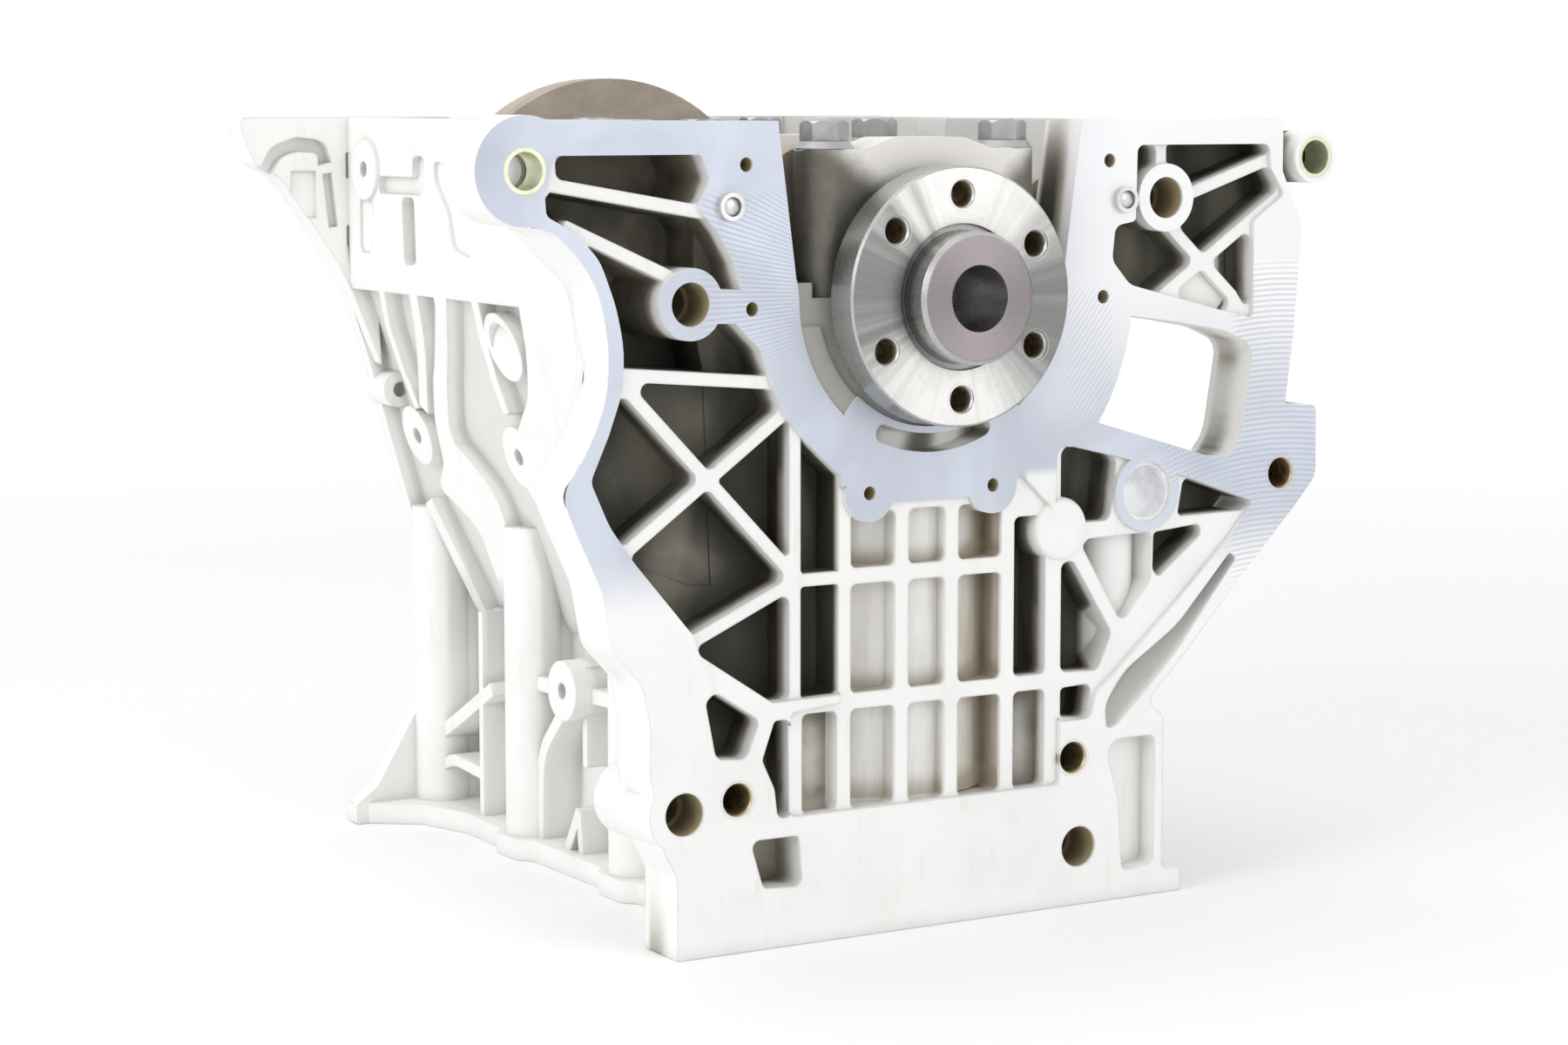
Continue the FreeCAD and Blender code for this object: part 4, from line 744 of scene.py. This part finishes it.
def thread_profile(radius, reach):
    """Zigzag of a tapped hole, with a worn chamfer at its mouth, in millimetres."""
    root, crest = radius - 0.1, radius - 0.75
    profile = [(radius + 0.9, -0.05), (root, 0.5)]
    for turn in range(int(reach / THREAD_PITCH) - 1):
        start = 1.0 + turn * THREAD_PITCH
        profile += [(crest, start + 0.35 * THREAD_PITCH), (crest, start + 0.5 * THREAD_PITCH),
                    (root, start + 0.85 * THREAD_PITCH)]
    return profile


class BLOCK_OT_casting(bpy.types.Operator):
    """Give the casting its cast skin and milled faces"""
    bl_idname = "block.casting"
    bl_label = "Casting"

    def execute(self, context):
        dress(["engine_block"], cast_aluminium(context.scene.block_casting))
        return {"FINISHED"}


class BLOCK_OT_cast_details(bpy.types.Operator):
    """Blend the flange into the trumpet, floor the pockets, crown the boss, fill the skirt's hollows"""
    bl_idname = "block.cast_details"
    bl_label = "Cast Details"

    def execute(self, context):
        skin = frame["nodes"]["engine_block"].data.materials[0]
        for name, build, smooth in (
            ("flange_edge_blend", self.edge_blend, True),
            ("crossed_pocket_floor", self.pocket_floor, False),
            ("solid_boss_crown", self.boss_crown, True),
            ("cell_floor", self.cell_floor, True),
            ("skirt_pads", self.skirt_pads, False),
        ):
            shape = bmesh.new()
            build(shape)
            piece(name, shape, skin, "block", smooth)
        return {"FINISHED"}

    @staticmethod
    def edge_blend(shape):
        rows = []
        for column, (deep, out) in enumerate(BLEND_LINES, start=1):
            rows.append(strand(shape, [at_rear(row[column] - out, row[0], deep) for row in EDGE_BLEND]))
        for near, far in zip(rows, rows[1:]):
            bmesh.ops.bridge_loops(shape, edges=near + far)
        bmesh.ops.subdivide_edges(shape, edges=shape.edges, cuts=2, smooth=0.6, use_grid_fill=True)

    @staticmethod
    def pocket_floor(shape):
        near, far = ([shape.verts.new(at_rear(x, up, deep)) for x, up in POCKET_FLOOR]
                     for deep in (POCKET_DEPTH, POCKET_DEPTH + POCKET_FLOOR_THICK))
        shape.faces.new(near)
        shape.faces.new(far)
        quads(shape, near + near[:1], far + far[:1])

    @staticmethod
    def boss_crown(shape):
        turned_ring(shape, at_rear(*BOSS_PLACE), BOSS_PROFILE, steps=48)

    @staticmethod
    def cell_floor(shape):
        rows = [strand(shape, [at_rear(x, end, deep) for x, deep in CELL_FLOOR]) for end in CELL_FLOOR_ENDS]
        bmesh.ops.bridge_loops(shape, edges=rows[0] + rows[1])

    @staticmethod
    def skirt_pads(shape):
        for y0, y1, low, high in SKIRT_FLUSH:
            size = Matrix.Diagonal((SKIRT_PAD_THICK * MM, (y1 - y0) * MM, (high - low) * MM, 1.0))
            for side in (-1, 1):
                middle = Matrix.Translation((side * SKIRT_PAD_X * MM, (y0 + y1) / 2 * MM,
                                             CRANK_AXIS.z + (low + high) / 2 * MM))
                bmesh.ops.create_cube(shape, size=1.0, matrix=middle @ size)


class BLOCK_OT_crankshaft(bpy.types.Operator):
    """Give the crankshaft its turned and forged surfaces"""
    bl_idname = "block.crankshaft"
    bl_label = "Crankshaft"

    def execute(self, context):
        dress(["crankshaft"], crank_steel(context.scene.block_crank))
        return {"FINISHED"}


class BLOCK_OT_bearings(bpy.types.Operator):
    """Give the caps, bolts, shells and liners their metals"""
    bl_idname = "block.bearings"
    bl_label = "Caps, Bolts and Liners"

    def execute(self, context):
        crank = context.scene.block_crank
        dress(nodes_called("main_bearing_cap"), cap_iron(crank))
        dress(nodes_called("cap_bolt"), plain_metal("bolt_steel", crank.bolt, roughness=0.35))
        dress(nodes_called("bearing_shell", "thrust_washer"),
              plain_metal("bearing_metal", crank.shell, roughness=0.3))
        dress(nodes_called("cylinder_liner"), honed_iron())
        return {"FINISHED"}


class BLOCK_OT_hardware(bpy.types.Operator):
    """Give the plug, dowels and sleeves their plating, and close the dowels' ends"""
    bl_idname = "block.hardware"
    bl_label = "Plugs and Dowels"

    def execute(self, context):
        crank = context.scene.block_crank
        dress(["rear_core_plug"],
              plain_metal("core_plug", crank.plug, roughness=0.5, metallic=0.05, soil_and_shade=0.15))
        dowel_steel = plain_metal("dowel_steel", crank.dowel, roughness=0.3, metallic=0.7, soil_and_shade=0.4)
        dress(nodes_called("seal_dowel"), dowel_steel)
        dress(nodes_called("lug_sleeve"),
              plain_metal("sleeve_plating", crank.sleeve, roughness=0.3, metallic=0.6, soil_and_shade=0.15))
        ends = bmesh.new()
        x, up = DOWEL_PLACE
        for side in (-1, 1):
            turned_ring(ends, at_rear(side * x, up), DOWEL_END, steps=32)
        piece("seal_dowel_ends", ends, dowel_steel, "block")
        return {"FINISHED"}


class BLOCK_OT_threads(bpy.types.Operator):
    """Cut the threads of the tapped holes in the flywheel end and the flange"""
    bl_idname = "block.threads"
    bl_label = "Threads"

    def execute(self, context):
        rust = context.scene.block_casting.rust
        turned = context.scene.block_crank.turned
        for start, body, slot, face, base in (
            ("bellhousing_bolt", "block", "cast_aluminium", REAR_FACE, tinted(rust, 1.15)),
            ("flywheel_bolt", "crankshaft", "machined_steel", FLANGE_FACE, tinted(turned, 0.8)),
        ):
            shape = bmesh.new()
            for name, mount in MOUNTS.items():
                if name.startswith(start):
                    sizes = mount["dims"]
                    profile = thread_profile(sizes["r_mm"], min(sizes["length_mm"], THREAD_REACH))
                    turned_ring(shape, mount["pos_m"], profile, steps=40)
            piece(start + "_threads", shape, thread_metal(start + "_thread", face, base), body)
        return {"FINISHED"}


class BLOCK_OT_stage(bpy.types.Operator):
    """Set the camera, the lamps and the pale floor"""
    bl_idname = "block.stage"
    bl_label = "Studio"

    def execute(self, context):
        stage = context.scene.block_stage
        self.camera(context.scene, stage)
        self.sky(context.scene, stage)
        self.lamps(context.scene)
        self.floor(context.scene, stage)
        context.scene.view_settings.view_transform = "Standard"
        return {"FINISHED"}

    @staticmethod
    def camera(scene, stage):
        data = bpy.data.cameras.new("camera")
        data.sensor_width = 36.0
        data.lens = stage.lens
        data.clip_end = 50.0
        camera = bpy.data.objects.new("camera", data)
        camera.location = stage.eye
        camera.rotation_euler = (math.pi / 2 - stage.pitch, 0.0, -stage.azimuth)
        scene.collection.objects.link(camera)
        scene.camera = camera

    @staticmethod
    def sky(scene, stage):
        """Even light on the part, and plain white for the camera and in mirrors"""
        scene.world = bpy.data.worlds.new("studio")
        f = Finish(scene.world)
        seen = f.light_path("Is Camera Ray").at_least(f.light_path("Is Glossy Ray"))
        seen = seen.at_least(f.light_path("Is Transmission Ray"))
        even = f.node("ShaderNodeBackground", None, {"Color": WHITE, "Strength": stage.sky})
        white = f.node("ShaderNodeBackground", None, {"Color": WHITE, "Strength": 1.0})
        f.show(f.node("ShaderNodeMixShader", None, {0: seen, 1: even, 2: white}), "World")

    @staticmethod
    def lamps(scene):
        for name, place, size, power in LAMPS:
            data = bpy.data.lights.new(name, "AREA")
            data.size = size
            data.energy = power
            lamp = bpy.data.objects.new(name, data)
            lamp.location = place
            lamp.rotation_euler = (LAMP_TARGET - Vector(place)).to_track_quat("-Z", "Y").to_euler()
            scene.collection.objects.link(lamp)

    @staticmethod
    def floor(scene, stage):
        """Paper that turns into the white background further out"""
        mesh = bpy.data.meshes.new("floor")
        shape = bmesh.new()
        bmesh.ops.create_grid(shape, x_segments=1, y_segments=1, size=stage.floor_size / 2)
        bmesh.ops.translate(shape, verts=shape.verts, vec=(0, 0, -FLOOR_DROP * MM))
        shape.to_mesh(mesh)
        shape.free()
        floor = bpy.data.objects.new("floor", mesh)
        scene.collection.objects.link(floor)
        f = Finish("floor_paper")
        x, y, z = f.axes(f.place)
        outside = away(x, y).rise(*PAPER_FADE) * f.light_path("Is Camera Ray")
        paper = f.node("ShaderNodeBsdfDiffuse", None, {"Color": PAPER})
        white = f.node("ShaderNodeEmission", None, {"Color": WHITE, "Strength": 1.0})
        f.show(f.node("ShaderNodeMixShader", None, {0: outside, 1: paper, 2: white}))
        mesh.materials.append(f.owner)


class BLOCK_PT_panel(bpy.types.Panel):
    """Buttons for each group of pieces"""
    bl_idname = "BLOCK_PT_panel"
    bl_label = "Engine Block"
    bl_space_type = "VIEW_3D"
    bl_region_type = "UI"
    bl_category = "Engine Block"

    def draw(self, context):
        layout = self.layout
        for operator in OPERATORS:
            layout.operator(operator.bl_idname)
        for group in (context.scene.block_casting, context.scene.block_crank, context.scene.block_stage):
            box = layout.box()
            for name in group.bl_rna.properties.keys():
                if name not in ("rna_type", "name"):
                    box.prop(group, name)


OPERATORS = (BLOCK_OT_casting, BLOCK_OT_cast_details, BLOCK_OT_crankshaft, BLOCK_OT_bearings,
             BLOCK_OT_hardware, BLOCK_OT_threads, BLOCK_OT_stage)
SETTINGS = {"block_casting": CastingSettings, "block_crank": CrankSettings, "block_stage": StageSettings}


def register():
    for group in SETTINGS.values():
        bpy.utils.register_class(group)
    for name, group in SETTINGS.items():
        setattr(bpy.types.Scene, name, bpy.props.PointerProperty(type=group))
    for operator in OPERATORS:
        bpy.utils.register_class(operator)
    bpy.utils.register_class(BLOCK_PT_panel)


def unregister():
    bpy.utils.unregister_class(BLOCK_PT_panel)
    for operator in reversed(OPERATORS):
        bpy.utils.unregister_class(operator)
    for name in SETTINGS:
        delattr(bpy.types.Scene, name)
    for group in reversed(SETTINGS.values()):
        bpy.utils.unregister_class(group)


def main():
    register()
    for operator in OPERATORS:
        group, name = operator.bl_idname.split(".")
        getattr(getattr(bpy.ops, group), name)()


if __name__ == "__main__":
    main()
